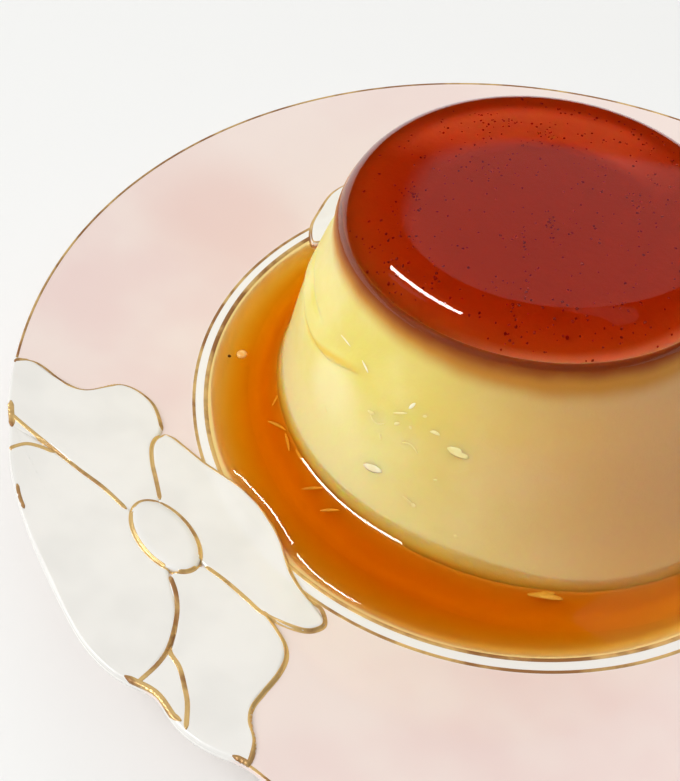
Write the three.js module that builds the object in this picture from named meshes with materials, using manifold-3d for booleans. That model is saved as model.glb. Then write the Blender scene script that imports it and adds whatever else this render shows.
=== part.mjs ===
// Caramel pudding, turned out of its mould onto a porcelain dessert plate.
// Millimetres, +Z up, origin under the plate's centre on the table.
//
// Four pieces: the plate with its raised blossoms, the custard, the set caramel on top
// of it and the pool of caramel sauce that fills the plate's well round its foot.

import * as THREE from 'three';
import { mergeVertices } from 'three/addons/utils/BufferGeometryUtils.js';
import Module from 'manifold-3d';

const wasm = await Module();
wasm.setup();

// ---------------------------------------------------------------- driving dimensions

const GAP = 0.3;                      // clearance between pieces that touch

// Plate
const PLATE_RADIUS = 76;
const PLATE_STEPS = 80;               // facets round the plate
const RIM_HEIGHT = 16.4;              // top of the rim's edge above the table
const SHOULDER_HEIGHT = 10.5;         // flat band between the two gilt rings
const SHOULDER_INNER = 47.4;          // inner gilt ring
const SHOULDER_OUTER = 49.2;          // outer gilt ring
const WELL_FLOOR = 5.5;               // glazed bottom of the well
const WELL_FLOOR_RADIUS = 40;
const WELL_CURVE = 1.6;               // 1 makes the well's wall a plain parabola, more is steeper
const WELL_WALL_RADII = [41.4, 43.2, 45, 46.3];   // where the wall's facets meet
const RIM_RADII = [56, 66];                       // where the rim's facets meet
const FOOT_RADIUS = 42;               // middle of the foot ring
const FOOT_WIDTH = 3.4;
const BASE_UNDERSIDE = 2.4;           // underside inside the foot ring
const SCALLOP_START = 8;              // distance outside the rings where the scallops begin

// Scalloped stretch of the rim, beside the large blossom: [angle, depth, half width]
const SCALLOPS = [
  [-156, -1.0, 3.5],
  [-139, -0.2, 7.0],
  [-125, 0.7, 5.0],
  [-117, -1.3, 2.8],
  [-106, -0.9, 3.0],
];

// Raised blossoms
const RELIEF = 0.55;                  // height of a petal above the rim
const HEART_RELIEF = 0.5;             // height of the blossom's heart above its petals
const PETAL_DROOP = 0.08;             // fall of a petal for each millimetre it reaches over the well
const PETAL_ROOT = { rim: 1.1, well: 1.6 };       // depth of a petal's root in the porcelain
const PETAL_EDGE = 0.35;              // distance of the petals from the rim's edge

// Pudding, measured from the sauce level up
const SAUCE_LEVEL = 10.2;
const PUDDING_HEIGHT = 36.7;
const PUDDING_AXIS = new THREE.Vector2(-0.25, 2.9);
const FOOT_SECTION = 36.4;            // radius of the custard at the sauce level
const NECK_SECTION = 28.5;            // radius where the rounded shoulder starts
const SHOULDER_ROUND = 7.5;           // radius of the shoulder's rounding
const SHOULDER_TURN = 0.75;           // share of that radius in which the wall turns inwards
const WALL_BELLY = 0.8;               // outward belly of the soft wall
const WAIST = { height: 26, depth: 0.8, width: 4 };                // slight neck under the caramel
const SLUMP = { angle: -32, reach: 5.4, focus: 4, height: 6 };     // foot sagging out to one side
const CARAMEL_DEPTH = 6.6;            // thickness of the set caramel
const CUSTARD_RINGS = [0, 1.5, 3.5, 6, 10, 15, 20, 23.5, 27];      // heights of the wall's facets
const SHOULDER_RINGS = [0, 0.25, 0.5, 0.7, 0.85, 0.95, 1];         // shares of the shoulder's height
const PUDDING_STEPS = 64;             // facets round the pudding
const POOL_MARGIN = 0.75;             // distance of the pool's edge from the inner gilt ring

// ---------------------------------------------------------------- blossoms

// Petal outlines on the plate, in millimetres seen from above, anticlockwise or clockwise.
// Only the turning points are given: a closed spline runs through them.
const LARGE_BLOSSOM = {
  outerLeft: [
    [-75.5, -21.4], [-71.2, -19.3], [-66.0, -20.8], [-61.7, -21.2], [-57.3, -17.8], [-52.6, -18.8],
    [-48.8, -23.6], [-48.9, -27.4], [-47.0, -31.7], [-44.3, -37.0], [-47.8, -40.0], [-56.2, -36.0],
    [-62.4, -33.3], [-71.5, -31.8],
  ],
  outerFront: [
    [-70.5, -32.0], [-64.6, -33.5], [-56.2, -36.0], [-47.8, -39.5], [-40.0, -46.0], [-38.5, -48.5],
    [-35.4, -54.3], [-34.6, -59.5], [-37.5, -67.2], [-52.0, -57.5], [-65.0, -42.0],
  ],
  frontRight: [
    [-38.5, -48.5], [-34.8, -45.2], [-29.5, -47.6], [-25.2, -49.7], [-21.1, -53.9], [-20.6, -58.4],
    [-22.2, -64.3], [-20.0, -70.2], [-20.4, -74.4], [-30.5, -71.0], [-36.8, -66.2], [-34.4, -59.5],
    [-35.6, -54.0],
  ],
  inner: [
    [-48.1, -24.3], [-44.8, -25.3], [-40.6, -27.3], [-35.2, -29.6], [-30.5, -32.8], [-26.9, -36.7],
    [-23.6, -42.1], [-20.4, -45.3], [-17.2, -48.9], [-19.6, -50.8], [-25.3, -50.0], [-31.3, -46.7],
    [-34.8, -45.2], [-44.3, -37.0], [-47.2, -31.7], [-48.9, -26.8],
  ],
};
const LARGE_HEART = { radius: 59.2, angle: -134.3, halfLength: 6.8, halfWidth: 3.7, turn: 4 };

const SMALL_BLOSSOM = {
  inner: [
    [-38.4, 24.8], [-39.9, 28.7], [-39.5, 33.0], [-38.4, 37.8], [-36.0, 41.2], [-31.0, 44.4],
    [-26.5, 46.2], [-22.0, 49.5], [-13.5, 52.0], [-10.6, 49.6], [-13.5, 46.4], [-21.0, 40.8],
    [-28.5, 34.6], [-34.0, 28.3],
  ],
  outerLeft: [
    [-31.0, 49.0], [-31.8, 53.2], [-30.0, 57.2], [-26.2, 60.8], [-21.0, 62.6], [-18.2, 61.0],
    [-20.0, 56.6], [-25.5, 50.5],
  ],
  outerRight: [
    [-20.5, 55.0], [-17.0, 59.2], [-11.0, 63.4], [-4.8, 62.8], [-1.4, 58.6], [-3.6, 54.6],
    [-9.0, 53.2], [-15.0, 52.0],
  ],
};
const SMALL_HEART = { radius: 57.0, angle: 113.0, halfLength: 5.2, halfWidth: 2.9, turn: 0 };

// ---------------------------------------------------------------- manifold helpers

/** A closed BufferGeometry as a solid that can be joined and cut. */
function toSolid(geometry) {
  const bare = geometry.index ? geometry.toNonIndexed() : geometry.clone();
  bare.deleteAttribute('normal');
  bare.deleteAttribute('uv');
  const merged = mergeVertices(bare, 1e-4);
  return new wasm.Manifold(new wasm.Mesh({
    numProp: 3,
    vertProperties: new Float32Array(merged.attributes.position.array),
    triVerts: new Uint32Array(merged.index.array),
  }));
}

/** A solid back as a BufferGeometry with face normals. */
function toGeometry(solid) {
  const { vertProperties, triVerts } = solid.getMesh();
  const geometry = new THREE.BufferGeometry();
  geometry.setAttribute('position', new THREE.BufferAttribute(new Float32Array(vertProperties), 3));
  geometry.setIndex(new THREE.BufferAttribute(new Uint32Array(triVerts), 1));
  geometry.computeVertexNormals();
  return geometry;
}

/** A solid of revolution about +Z from a closed profile of [radius, height] pairs. */
function turned(profile, steps) {
  const points = profile.map(([r, z]) => new THREE.Vector2(r, z));
  return new THREE.LatheGeometry(points, steps).rotateX(Math.PI / 2);
}

/** A closed smooth outline through the given [x, y] points, sampled evenly. */
function smoothOutline(points, samplesPerPoint = 3) {
  const knots = points.map(([x, y]) => new THREE.Vector3(x, y, 0));
  const curve = new THREE.CatmullRomCurve3(knots, true, 'centripetal');
  return curve.getPoints(points.length * samplesPerPoint).slice(0, -1);
}

/** An outline grown outwards by a distance, along the bisector at each of its points. */
function grown(outline, distance) {
  const flat = outline.map((p) => new THREE.Vector2(p.x, p.y));
  const side = THREE.ShapeUtils.isClockWise(flat) ? -1 : 1;
  return outline.map((point, i) => {
    const before = outline[(i + outline.length - 1) % outline.length];
    const after = outline[(i + 1) % outline.length];
    const along = new THREE.Vector3().subVectors(after, before).normalize();
    return new THREE.Vector3(point.x + side * along.y * distance, point.y - side * along.x * distance, 0);
  });
}

/** A straight prism over an outline, from one height to another. */
function prism(outline, bottom, top) {
  const shape = new THREE.Shape(outline.map((p) => new THREE.Vector2(p.x, p.y)));
  const block = new THREE.ExtrudeGeometry(shape, { depth: top - bottom, bevelEnabled: false });
  return toSolid(block.translate(0, 0, bottom));
}

// ---------------------------------------------------------------- plate

/** Height of the glazed top surface at a radius: floor, curved well wall, shoulder, rim. */
function glazeHeight(r) {
  if (r < WELL_FLOOR_RADIUS) return WELL_FLOOR;
  if (r < SHOULDER_INNER) {
    const t = (r - WELL_FLOOR_RADIUS) / (SHOULDER_INNER - WELL_FLOOR_RADIUS);
    return WELL_FLOOR + (SHOULDER_HEIGHT - WELL_FLOOR) * t * t * (WELL_CURVE - (WELL_CURVE - 1) * t);
  }
  const out = Math.max(r - SHOULDER_OUTER, 0) / (PLATE_RADIUS - SHOULDER_OUTER);
  return THREE.MathUtils.lerp(SHOULDER_HEIGHT, RIM_HEIGHT, out);
}

/** Widens or narrows the outer rim by the scallops, fading out towards the shoulder. */
function scallop(geometry) {
  const position = geometry.attributes.position;
  for (let i = 0; i < position.count; i++) {
    const x = position.getX(i);
    const y = position.getY(i);
    const angle = THREE.MathUtils.radToDeg(Math.atan2(y, x));
    let depth = 0;
    for (const [centre, size, width] of SCALLOPS) {
      depth += size * Math.exp(-(((angle - centre) / width) ** 2));
    }
    const reach = THREE.MathUtils.smoothstep(Math.hypot(x, y), SHOULDER_OUTER + SCALLOP_START, PLATE_RADIUS);
    const scale = 1 + reach * depth / PLATE_RADIUS;
    position.setXY(i, x * scale, y * scale);
  }
  return geometry;
}

/** Closed profile of the plate: underside, foot ring, rim edge and glazed top. */
function plateProfile() {
  const footIn = FOOT_RADIUS - FOOT_WIDTH / 2;
  const footOut = FOOT_RADIUS + FOOT_WIDTH / 2;
  const underside = [
    [0, BASE_UNDERSIDE],
    [footIn - 1, BASE_UNDERSIDE],
    [footIn, 0],
    [footOut, 0],
    [footOut + 1.2, 3.0],
    [SHOULDER_INNER + 1.5, 6.7],
    [SHOULDER_OUTER + 5, 8.6],
    [PLATE_RADIUS - 2, RIM_HEIGHT - 2.6],
  ];
  const edge = [
    [PLATE_RADIUS - 0.3, RIM_HEIGHT - 1.6],
    [PLATE_RADIUS, RIM_HEIGHT - 0.8],
    [PLATE_RADIUS - 0.5, RIM_HEIGHT - 0.15],
  ];
  const topRadii = [WELL_FLOOR_RADIUS, ...WELL_WALL_RADII, SHOULDER_INNER, SHOULDER_OUTER, ...RIM_RADII];
  const top = topRadii.reverse().map((r) => [r, glazeHeight(r)]);
  return [...underside, ...edge, ...top, [0, WELL_FLOOR]];
}

/** Shell that a blossom fills: from inside the porcelain to a petal's height above the glaze. */
function reliefShell(height) {
  const overWellWall = WELL_WALL_RADII.slice(1, 3);
  const radii = [...overWellWall, SHOULDER_INNER, SHOULDER_OUTER, ...RIM_RADII, PLATE_RADIUS - PETAL_EDGE];
  const overWell = (r) => SHOULDER_HEIGHT - PETAL_DROOP * Math.max(SHOULDER_INNER - r, 0);
  const petalTop = (r) => Math.max(glazeHeight(r), overWell(r));
  const upper = radii.map((r) => [r, petalTop(r) + height]).reverse();
  const root = (r) => (r < SHOULDER_OUTER ? PETAL_ROOT.well : PETAL_ROOT.rim);
  const lower = radii.map((r) => [r, glazeHeight(r) - root(r)]);
  return toSolid(scallop(turned([...lower, ...upper, lower[0]], PLATE_STEPS)));
}

/** The oval in the middle of a blossom, its long side across the plate's radius. */
function heartOutline({ radius, angle, halfLength, halfWidth, turn }) {
  const at = THREE.MathUtils.degToRad(angle);
  const tilt = at + THREE.MathUtils.degToRad(90 + turn);
  const ellipse = new THREE.EllipseCurve(
    radius * Math.cos(at), radius * Math.sin(at), halfLength, halfWidth, 0, 2 * Math.PI, false, tilt,
  );
  return ellipse.getPoints(20).slice(0, -1);
}

/** All the petals of one blossom and its heart, trimmed to their relief. */
function blossom(petals, heart) {
  const low = BASE_UNDERSIDE;
  const high = RIM_HEIGHT + 5;
  let solid = null;
  for (const points of Object.values(petals)) {
    const petal = prism(smoothOutline(points), low, high);
    solid = solid ? solid.add(petal) : petal;
  }
  const flower = solid.intersect(reliefShell(RELIEF));
  const centre = prism(heartOutline(heart), low, high).intersect(reliefShell(RELIEF + HEART_RELIEF));
  return flower.add(centre);
}

function plateSolid() {
  return toSolid(scallop(turned(plateProfile(), PLATE_STEPS)))
    .add(blossom(LARGE_BLOSSOM, LARGE_HEART))
    .add(blossom(SMALL_BLOSSOM, SMALL_HEART));
}

// ---------------------------------------------------------------- pudding

const SHOULDER_START = PUDDING_HEIGHT - SHOULDER_ROUND * SHOULDER_TURN;
const BOUNDARY = PUDDING_HEIGHT - CARAMEL_DEPTH;

/** Radius of the pudding at a height above the sauce: bellied cone, then rounded shoulder. */
function puddingRadius(z) {
  if (z <= SHOULDER_START) {
    const t = Math.max(z, 0) / SHOULDER_START;
    const belly = WALL_BELLY * Math.sin(Math.PI * t);
    const waist = WAIST.depth * Math.exp(-(((z - WAIST.height) / WAIST.width) ** 2)) * (1 - t ** 8);
    return THREE.MathUtils.lerp(FOOT_SECTION, NECK_SECTION, t) + belly - waist;
  }
  const up = Math.min(z - (PUDDING_HEIGHT - SHOULDER_ROUND), SHOULDER_ROUND);
  const startUp = SHOULDER_START - (PUDDING_HEIGHT - SHOULDER_ROUND);
  const out = (height) => Math.sqrt(SHOULDER_ROUND ** 2 - height ** 2);
  return NECK_SECTION - out(startUp) + out(up);
}

/** Outline of the pudding at a height above the sauce, grown outwards by a distance. */
function puddingSection(z, grow = 0) {
  const slump = SLUMP.reach * Math.exp(-Math.max(z, 0) / SLUMP.height);
  const slumpAngle = THREE.MathUtils.degToRad(SLUMP.angle);
  return Array.from({ length: PUDDING_STEPS }, (_, i) => {
    const a = (2 * Math.PI * i) / PUDDING_STEPS;
    const facing = ((1 + Math.cos(a - slumpAngle)) / 2) ** SLUMP.focus;
    const r = puddingRadius(z) + slump * facing + grow;
    const x = PUDDING_AXIS.x + r * Math.cos(a);
    const y = PUDDING_AXIS.y + r * Math.sin(a);
    return new THREE.Vector3(x, y, SAUCE_LEVEL + z);
  });
}

/** A closed solid through a stack of rings, with a fan over the first and the last. */
function stacked(rings) {
  const n = rings[0].length;
  const vertices = rings.flat();
  const index = [];
  for (let k = 0; k + 1 < rings.length; k++) {
    for (let i = 0; i < n; i++) {
      const a = k * n + i;
      const b = k * n + (i + 1) % n;
      index.push(a, b, b + n, a, b + n, a + n);
    }
  }
  const middle = (ring) => ring.reduce((sum, p) => sum.add(p), new THREE.Vector3()).divideScalar(n);
  const bottom = vertices.push(middle(rings[0])) - 1;
  const top = vertices.push(middle(rings[rings.length - 1])) - 1;
  const last = (rings.length - 1) * n;
  for (let i = 0; i < n; i++) {
    const next = (i + 1) % n;
    index.push(bottom, next, i, top, last + i, last + next);
  }
  const geometry = new THREE.BufferGeometry().setFromPoints(vertices);
  geometry.setIndex(index);
  geometry.computeVertexNormals();
  return geometry;
}

/** Rings of the pudding at several heights above the sauce. */
function puddingRings(heights) {
  return heights.map((z) => puddingSection(z));
}

function custardGeometry() {
  const foot = WELL_FLOOR + GAP - SAUCE_LEVEL;
  return stacked(puddingRings([foot, ...CUSTARD_RINGS, BOUNDARY - GAP]));
}

function caramelTopGeometry() {
  const rise = PUDDING_HEIGHT - SHOULDER_START;
  const shoulder = SHOULDER_RINGS.map((t) => SHOULDER_START + rise * t);
  return stacked(puddingRings([BOUNDARY, ...shoulder]));
}

/** The pool: the well up to the sauce level, cut round the custard and the petals in it. */
function sauceSolid() {
  const bedFloor = WELL_FLOOR + GAP;
  const wall = WELL_WALL_RADII.map((r) => [r - GAP, glazeHeight(r) + GAP]);
  const brim = [SHOULDER_INNER - POOL_MARGIN, SAUCE_LEVEL];
  const profile = [[0, bedFloor], [WELL_FLOOR_RADIUS, bedFloor], ...wall, brim, [0, SAUCE_LEVEL]];
  const foot = WELL_FLOOR - SAUCE_LEVEL;
  const hole = [foot, 0, 1].map((z) => puddingSection(z, GAP));
  let pool = toSolid(turned(profile, PLATE_STEPS)).subtract(toSolid(stacked(hole)));
  for (const petals of [LARGE_BLOSSOM, SMALL_BLOSSOM]) {
    pool = pool.subtract(prism(grown(smoothOutline(petals.inner), GAP), 0, RIM_HEIGHT));
  }
  return pool;
}

// ---------------------------------------------------------------- object

/** One named piece with its finish. */
function piece(name, geometry, color, roughness) {
  const mesh = new THREE.Mesh(geometry, new THREE.MeshStandardMaterial({ color, roughness, metalness: 0 }));
  mesh.name = name;
  return mesh;
}

const pudding = new THREE.Group();
pudding.add(piece('plate', toGeometry(plateSolid()), 0xf0d9cf, 0.15));
pudding.add(piece('custard', custardGeometry(), 0xf4e08a, 0.35));
pudding.add(piece('caramel_top', caramelTopGeometry(), 0x9a2f16, 0.1));
pudding.add(piece('caramel_sauce', toGeometry(sauceSolid()), 0xc8741a, 0.08));

export default pudding;
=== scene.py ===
"""A caramel pudding turned out onto a porcelain dessert plate, built round its packed frame.

The file is laid out as an add-on and run as a script. Every size is in metres, +Z is up and
the origin is on the table under the plate's centre, as in the frame.
"""

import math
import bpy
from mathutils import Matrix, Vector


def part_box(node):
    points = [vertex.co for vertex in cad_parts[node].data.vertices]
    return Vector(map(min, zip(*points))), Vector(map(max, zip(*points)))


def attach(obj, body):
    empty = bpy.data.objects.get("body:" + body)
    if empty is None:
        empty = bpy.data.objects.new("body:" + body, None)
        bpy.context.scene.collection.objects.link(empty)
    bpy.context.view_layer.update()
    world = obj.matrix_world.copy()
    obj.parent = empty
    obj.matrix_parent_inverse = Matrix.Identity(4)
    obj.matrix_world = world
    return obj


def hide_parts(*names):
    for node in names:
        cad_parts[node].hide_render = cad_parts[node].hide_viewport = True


bl_info = {
    "name": "Caramel pudding on a plate",
    "version": (1, 0, 0),
    "blender": (4, 5, 0),
    "location": "3D View > Sidebar > Pudding",
    "description": "Custard pudding with set caramel and sauce on a gilt dessert plate",
    "category": "Add Mesh",
}

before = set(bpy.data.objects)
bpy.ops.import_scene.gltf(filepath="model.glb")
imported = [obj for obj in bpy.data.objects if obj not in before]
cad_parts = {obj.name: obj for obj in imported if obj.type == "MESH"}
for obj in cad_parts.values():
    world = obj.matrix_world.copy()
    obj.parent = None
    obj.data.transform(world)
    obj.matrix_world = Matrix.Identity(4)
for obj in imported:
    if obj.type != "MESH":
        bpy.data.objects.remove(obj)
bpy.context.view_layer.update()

import bpy
import numpy as np
from bpy.props import FloatProperty, FloatVectorProperty, IntProperty, PointerProperty
from mathutils import Matrix, Vector

MM = 0.001
BODY = "root"
PLATE_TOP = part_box("plate")[1]
POOL_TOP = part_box("caramel_sauce")[1]
JELLY_LOW, JELLY_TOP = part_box("caramel_top")


def srgb(red, green, blue):
    """A colour picked on a 0 to 255 screen scale, as the linear colour that shaders use."""
    screen = np.array([red, green, blue]) / 255
    linear = np.where(screen <= 0.04045, screen / 12.92, ((screen + 0.055) / 1.055) ** 2.4)
    return tuple(float(x) for x in linear)


def length(name, default, description):
    """A size of the object, in metres."""
    return FloatProperty(name=name, description=description, default=default, unit="LENGTH", precision=5)


def colour(name, default, description):
    """A colour of the object."""
    return FloatVectorProperty(
        name=name, description=description, default=default, subtype="COLOR", size=3, min=0, max=1
    )


# ------------------------------------------------------------------ settings


class PlateSettings(bpy.types.PropertyGroup):
    """Sizes and glaze colours of the plate."""

    radius: length("Radius", PLATE_TOP.x, "From the plate's centre to the rim's edge")
    rim_height: length("Rim height", 16.4 * MM, "Top of the rim's edge above the table")
    band_height: length("Band height", 10.5 * MM, "Flat band between the two gilt rings")
    ring_inner: length("Inner ring", 47.4 * MM, "Radius of the inner gilt ring")
    ring_outer: length("Outer ring", 49.2 * MM, "Radius of the outer gilt ring")
    well_floor: length("Well floor", 4.6 * MM, "Glazed bottom of the well above the table")
    well_radius: length("Well radius", 36 * MM, "Where the well's floor turns up into its wall")
    relief: length("Petal relief", 0.55 * MM, "Height of a petal above the rim")
    heart_relief: length("Heart relief", 0.5 * MM, "Height of a blossom's heart above its petals")
    gilt_width: length("Gilt line", 0.62 * MM, "Width of a gilt line")
    white: colour("White glaze", srgb(241, 239, 234), "Glaze of the well, the band and the blossoms")
    # Painted light: the glaze under the sauce is made brighter than the rest of the glaze, so that the sauce
    # looks more brightly lit.
    soaked: colour("Glaze under the sauce", srgb(254, 250, 240), "Brightest part of the well")
    # Painted shade: the stained glaze is the well's glaze darkened towards the front, where the sauce lies
    # in shade.
    stained: colour("Stained glaze", srgb(218, 188, 152), "Glaze under the sauce where it lies deepest")
    honeyed: colour("Glaze at the brim", srgb(255, 230, 156), "Glaze where the sauce thins to a film")
    blush: colour("Pink glaze", srgb(240, 224, 217), "Airbrushed colour of the rim")
    rose: colour("Rosy patches", srgb(236, 212, 207), "Deeper patches in the airbrushed rim")
    flushed: colour("Deepest pink", srgb(233, 202, 194), "The rosiest cloud of the rim")
    gold: colour("Gilding", srgb(234, 196, 128), "Burnished gold")
    worn_gold: colour("Worn gilding", srgb(160, 112, 66), "Gold where it is thin or rubbed")


class CustardSettings(bpy.types.PropertyGroup):
    """Sizes and colours of the custard."""

    axis: FloatVectorProperty(
        name="Axis", description="Where the pudding stands on the plate", size=2,
        default=(-0.25 * MM, 2.9 * MM), unit="LENGTH",
    )
    foot: length("Foot radius", 36.6 * MM, "Radius of the custard at the sauce level")
    neck: length("Neck radius", 28.5 * MM, "Radius where the rounded shoulder starts")
    belly: length("Belly", 0.65 * MM, "Outward swell of the soft wall")
    slump: length("Slump", 5.4 * MM, "How far the foot has sagged out on one side")
    slump_angle: FloatProperty(
        name="Slump side", description="Direction in which the foot has sagged",
        default=math.radians(-32), subtype="ANGLE",
    )
    lemon: colour("Custard", srgb(230, 214, 112), "Set custard")
    cream: colour("Pale custard", srgb(243, 232, 166), "Paler cloudy patches")
    # Painted shade: this tan colours the side of the custard that faces away from the light.
    tan: colour("Warm custard", srgb(218, 168, 110), "The warmer side, which has set a little darker")
    amber: colour("Stained custard", srgb(200, 140, 54), "Custard that the caramel has stained")
    burnt: colour("Soaked edge", srgb(140, 66, 22), "Custard soaked through at the caramel's edge")
    steeped: colour("Steeped foot", srgb(222, 168, 106), "Custard that stands in the sauce")
    # Painted shade: this deeper yellow is the shadow in the crease's fold.
    crease: colour("Crease", srgb(232, 190, 62), "Deeper colour in the settled crease")
    # Painted light: the glow colours a ring of the custard's top under the caramel, where light comes
    # through the shoulder.
    glow: colour("Glow", srgb(255, 240, 204), "Pale ring under the caramel's shoulder, which lights it up")


class CaramelSettings(bpy.types.PropertyGroup):
    """Sizes and depth of colour of the two caramels."""

    shoulder: length("Shoulder round", 7.5 * MM, "Radius of the rounding at the pudding's top edge")
    dome: length("Dome", 0.45 * MM, "How much the top rises towards its middle")
    jelly_absorption: FloatVectorProperty(
        name="Set caramel absorption", size=3, default=(22, 172, 240), min=0,
        description="Red, green and blue light taken out by a metre of set caramel",
    )
    sauce_absorption: FloatVectorProperty(
        name="Sauce absorption", size=3, default=(4, 98, 640), min=0,
        description="Red, green and blue light taken out by a metre of sauce",
    )
    pool_rise: length("Pool", 0.5 * MM, "How far the pool stands over its contact with the well")
    meniscus: length("Meniscus", 2.0 * MM, "How high the sauce climbs the custard")
    meniscus_reach: length("Meniscus reach", 2.0 * MM, "How far from the custard it dies away")
    brink: length("Brink", 1.45 * MM, "How far the sauce rounds down at its outer edge in front")
    brink_reach: length("Brink reach", 1.3 * MM, "How far from the outer edge that begins")
    petal_brink: length("Petal brink", 0.6 * MM, "How much further it rounds down at a petal")
    specks: IntProperty(
        name="Vanilla specks", description="Specks in the set caramel", default=680, min=0
    )
    seed: IntProperty(name="Seed", description="Start of every random draw", default=11, min=0)


class StageSettings(bpy.types.PropertyGroup):
    """Camera and lights."""

    eye: FloatVectorProperty(
        name="Camera", description="Where the camera stands", size=3,
        default=(0, -125.57 * MM, 144.3 * MM), unit="LENGTH",
    )
    pitch: FloatProperty(
        name="Pitch", description="How far the camera looks down", default=0.837, subtype="ANGLE"
    )
    yaw: FloatProperty(
        name="Yaw", description="How far the camera looks right of +Y", default=-0.2127, subtype="ANGLE"
    )
    roll: FloatProperty(name="Roll", description="Tilt of the camera", default=0.0455, subtype="ANGLE")
    lens: FloatProperty(name="Lens", description="Focal length in millimetres", default=53.32)
    daylight: FloatProperty(name="Daylight", description="Strength of the light overhead", default=0.74)
    horizon: FloatProperty(
        name="Horizon", description="Strength of the light at the horizon beside that", default=0.2
    )
    key: FloatProperty(name="Key", description="Power of the soft light from the left, in watts", default=70)
    back: FloatProperty(name="Back", description="Power of the soft light from behind, in watts", default=11)
    window: FloatProperty(name="Window", description="Power of the strip of window, in watts", default=2.6)
    window_width: length("Window width", 55 * MM, "Short side of the strip of window")
    sheen: FloatProperty(name="Sheen", description="Radiance of the pale walls seen in gloss", default=0.5)
    floor: colour("Floor", srgb(238, 238, 236), "Pale table")
    backdrop: colour("Backdrop", srgb(246, 246, 244), "What is seen past the table")


# ------------------------------------------------------------------ maths on whole arrays


def smoothstep(low, high, x):
    """0 below low, 1 above high, and 3t^2 - 2t^3 between them."""
    t = np.clip((x - low) / (high - low), 0, 1)
    return t * t * (3 - 2 * t)


def window(x, opens, full, closes, shut):
    """1 from full to closes and 0 beyond opens and shut, with a smoothstep on each side."""
    return smoothstep(opens, full, x) * (1 - smoothstep(closes, shut, x))


def bump(x, centre, width):
    """exp(-((x - centre) / width)^2)."""
    return np.exp(-(((x - centre) / width) ** 2))


def whole_turn(steps):
    """Angles of so many equal steps round a circle."""
    return np.linspace(0, 2 * np.pi, steps, endpoint=False)


def rolling_mean(values, reach):
    """The mean of each value and its neighbours within reach, on a row that closes on itself."""
    near = range(-reach, reach + 1)
    return sum(np.roll(values, shift) for shift in near) / len(near)


def closed_spline(knots, steps):
    """Points of the closed centripetal Catmull-Rom spline through the knots, steps for each span.

    With knot spacing t = |difference|^0.5, each span is the usual pyramid of linear blends.
    """
    knots = np.asarray(knots, float)
    p0, p1, p2, p3 = (np.roll(knots, shift, axis=0)[:, None, :] for shift in (1, 0, -1, -2))
    t1 = np.linalg.norm(p1 - p0, axis=2, keepdims=True) ** 0.5
    t2 = t1 + np.linalg.norm(p2 - p1, axis=2, keepdims=True) ** 0.5
    t3 = t2 + np.linalg.norm(p3 - p2, axis=2, keepdims=True) ** 0.5
    t = t1 + (t2 - t1) * (np.arange(steps) / steps)[None, :, None]
    a1 = p0 + (p1 - p0) * t / t1
    a2 = p1 + (p2 - p1) * (t - t1) / (t2 - t1)
    a3 = p2 + (p3 - p2) * (t - t2) / (t3 - t2)
    b1 = a1 + (a2 - a1) * t / t2
    b2 = a2 + (a3 - a2) * (t - t1) / (t3 - t1)
    return (b1 + (b2 - b1) * (t - t1) / (t2 - t1)).reshape(-1, knots.shape[1])


def open_spline(knots, steps):
    """The same spline through an open row of knots, its ends carried on straight."""
    knots = np.asarray(knots, float)
    first, last = 2 * knots[0] - knots[1], 2 * knots[-1] - knots[-2]
    whole = closed_spline(np.vstack([first, knots, last]), steps)
    return whole[steps : steps * len(knots) + 1]


def from_centre(xy):
    """Distance of places from the plate's axis."""
    return np.hypot(xy[..., 0], xy[..., 1])


def with_height(xy, z):
    """Places and their heights as points."""
    return np.concatenate([xy, z[..., None]], axis=-1)


def nearest(points, path):
    """Distance from each point to the nearest point of a path sampled finely."""
    gaps = points[:, None, :] - path[None, :, :]
    return np.sqrt((gaps**2).sum(axis=2)).min(axis=1)


def inside(points, outline):
    """True for the points within a closed outline, by counting the edges that a ray crosses."""
    x, y = points[:, 0:1], points[:, 1:2]
    ax, ay = outline[:, 0], outline[:, 1]
    bx, by = np.roll(ax, -1), np.roll(ay, -1)
    spans = (ay > y) != (by > y)
    safe = np.where(by == ay, 1, by - ay)
    return ((spans & (x < ax + (bx - ax) * (y - ay) / safe)).sum(axis=1) % 2) == 1


def ripple(theta, z, seed):
    """Soft unevenness: a sum of waves cos(k theta + a) cos(m z / height + b), k and m small."""
    waves, height = 9, 30 * MM
    draw = np.random.default_rng(seed)
    k = draw.integers(1, 8, waves)
    m = draw.uniform(0.5, 5, waves)
    a, b = draw.uniform(0, 2 * np.pi, (2, waves))
    wave = np.cos(theta[..., None] * k + a) * np.cos(z[..., None] / height * m + b)
    return wave.sum(axis=-1) / math.sqrt(waves)


# ------------------------------------------------------------------ meshes


def add_object(data, unseen=()):
    """An object of the data's name in the scene, and the kinds of ray that don't see it."""
    placed = bpy.data.objects.new(data.name, data)
    for kind in unseen:
        setattr(placed, f"visible_{kind}", False)
    bpy.context.scene.collection.objects.link(placed)
    return placed


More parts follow.
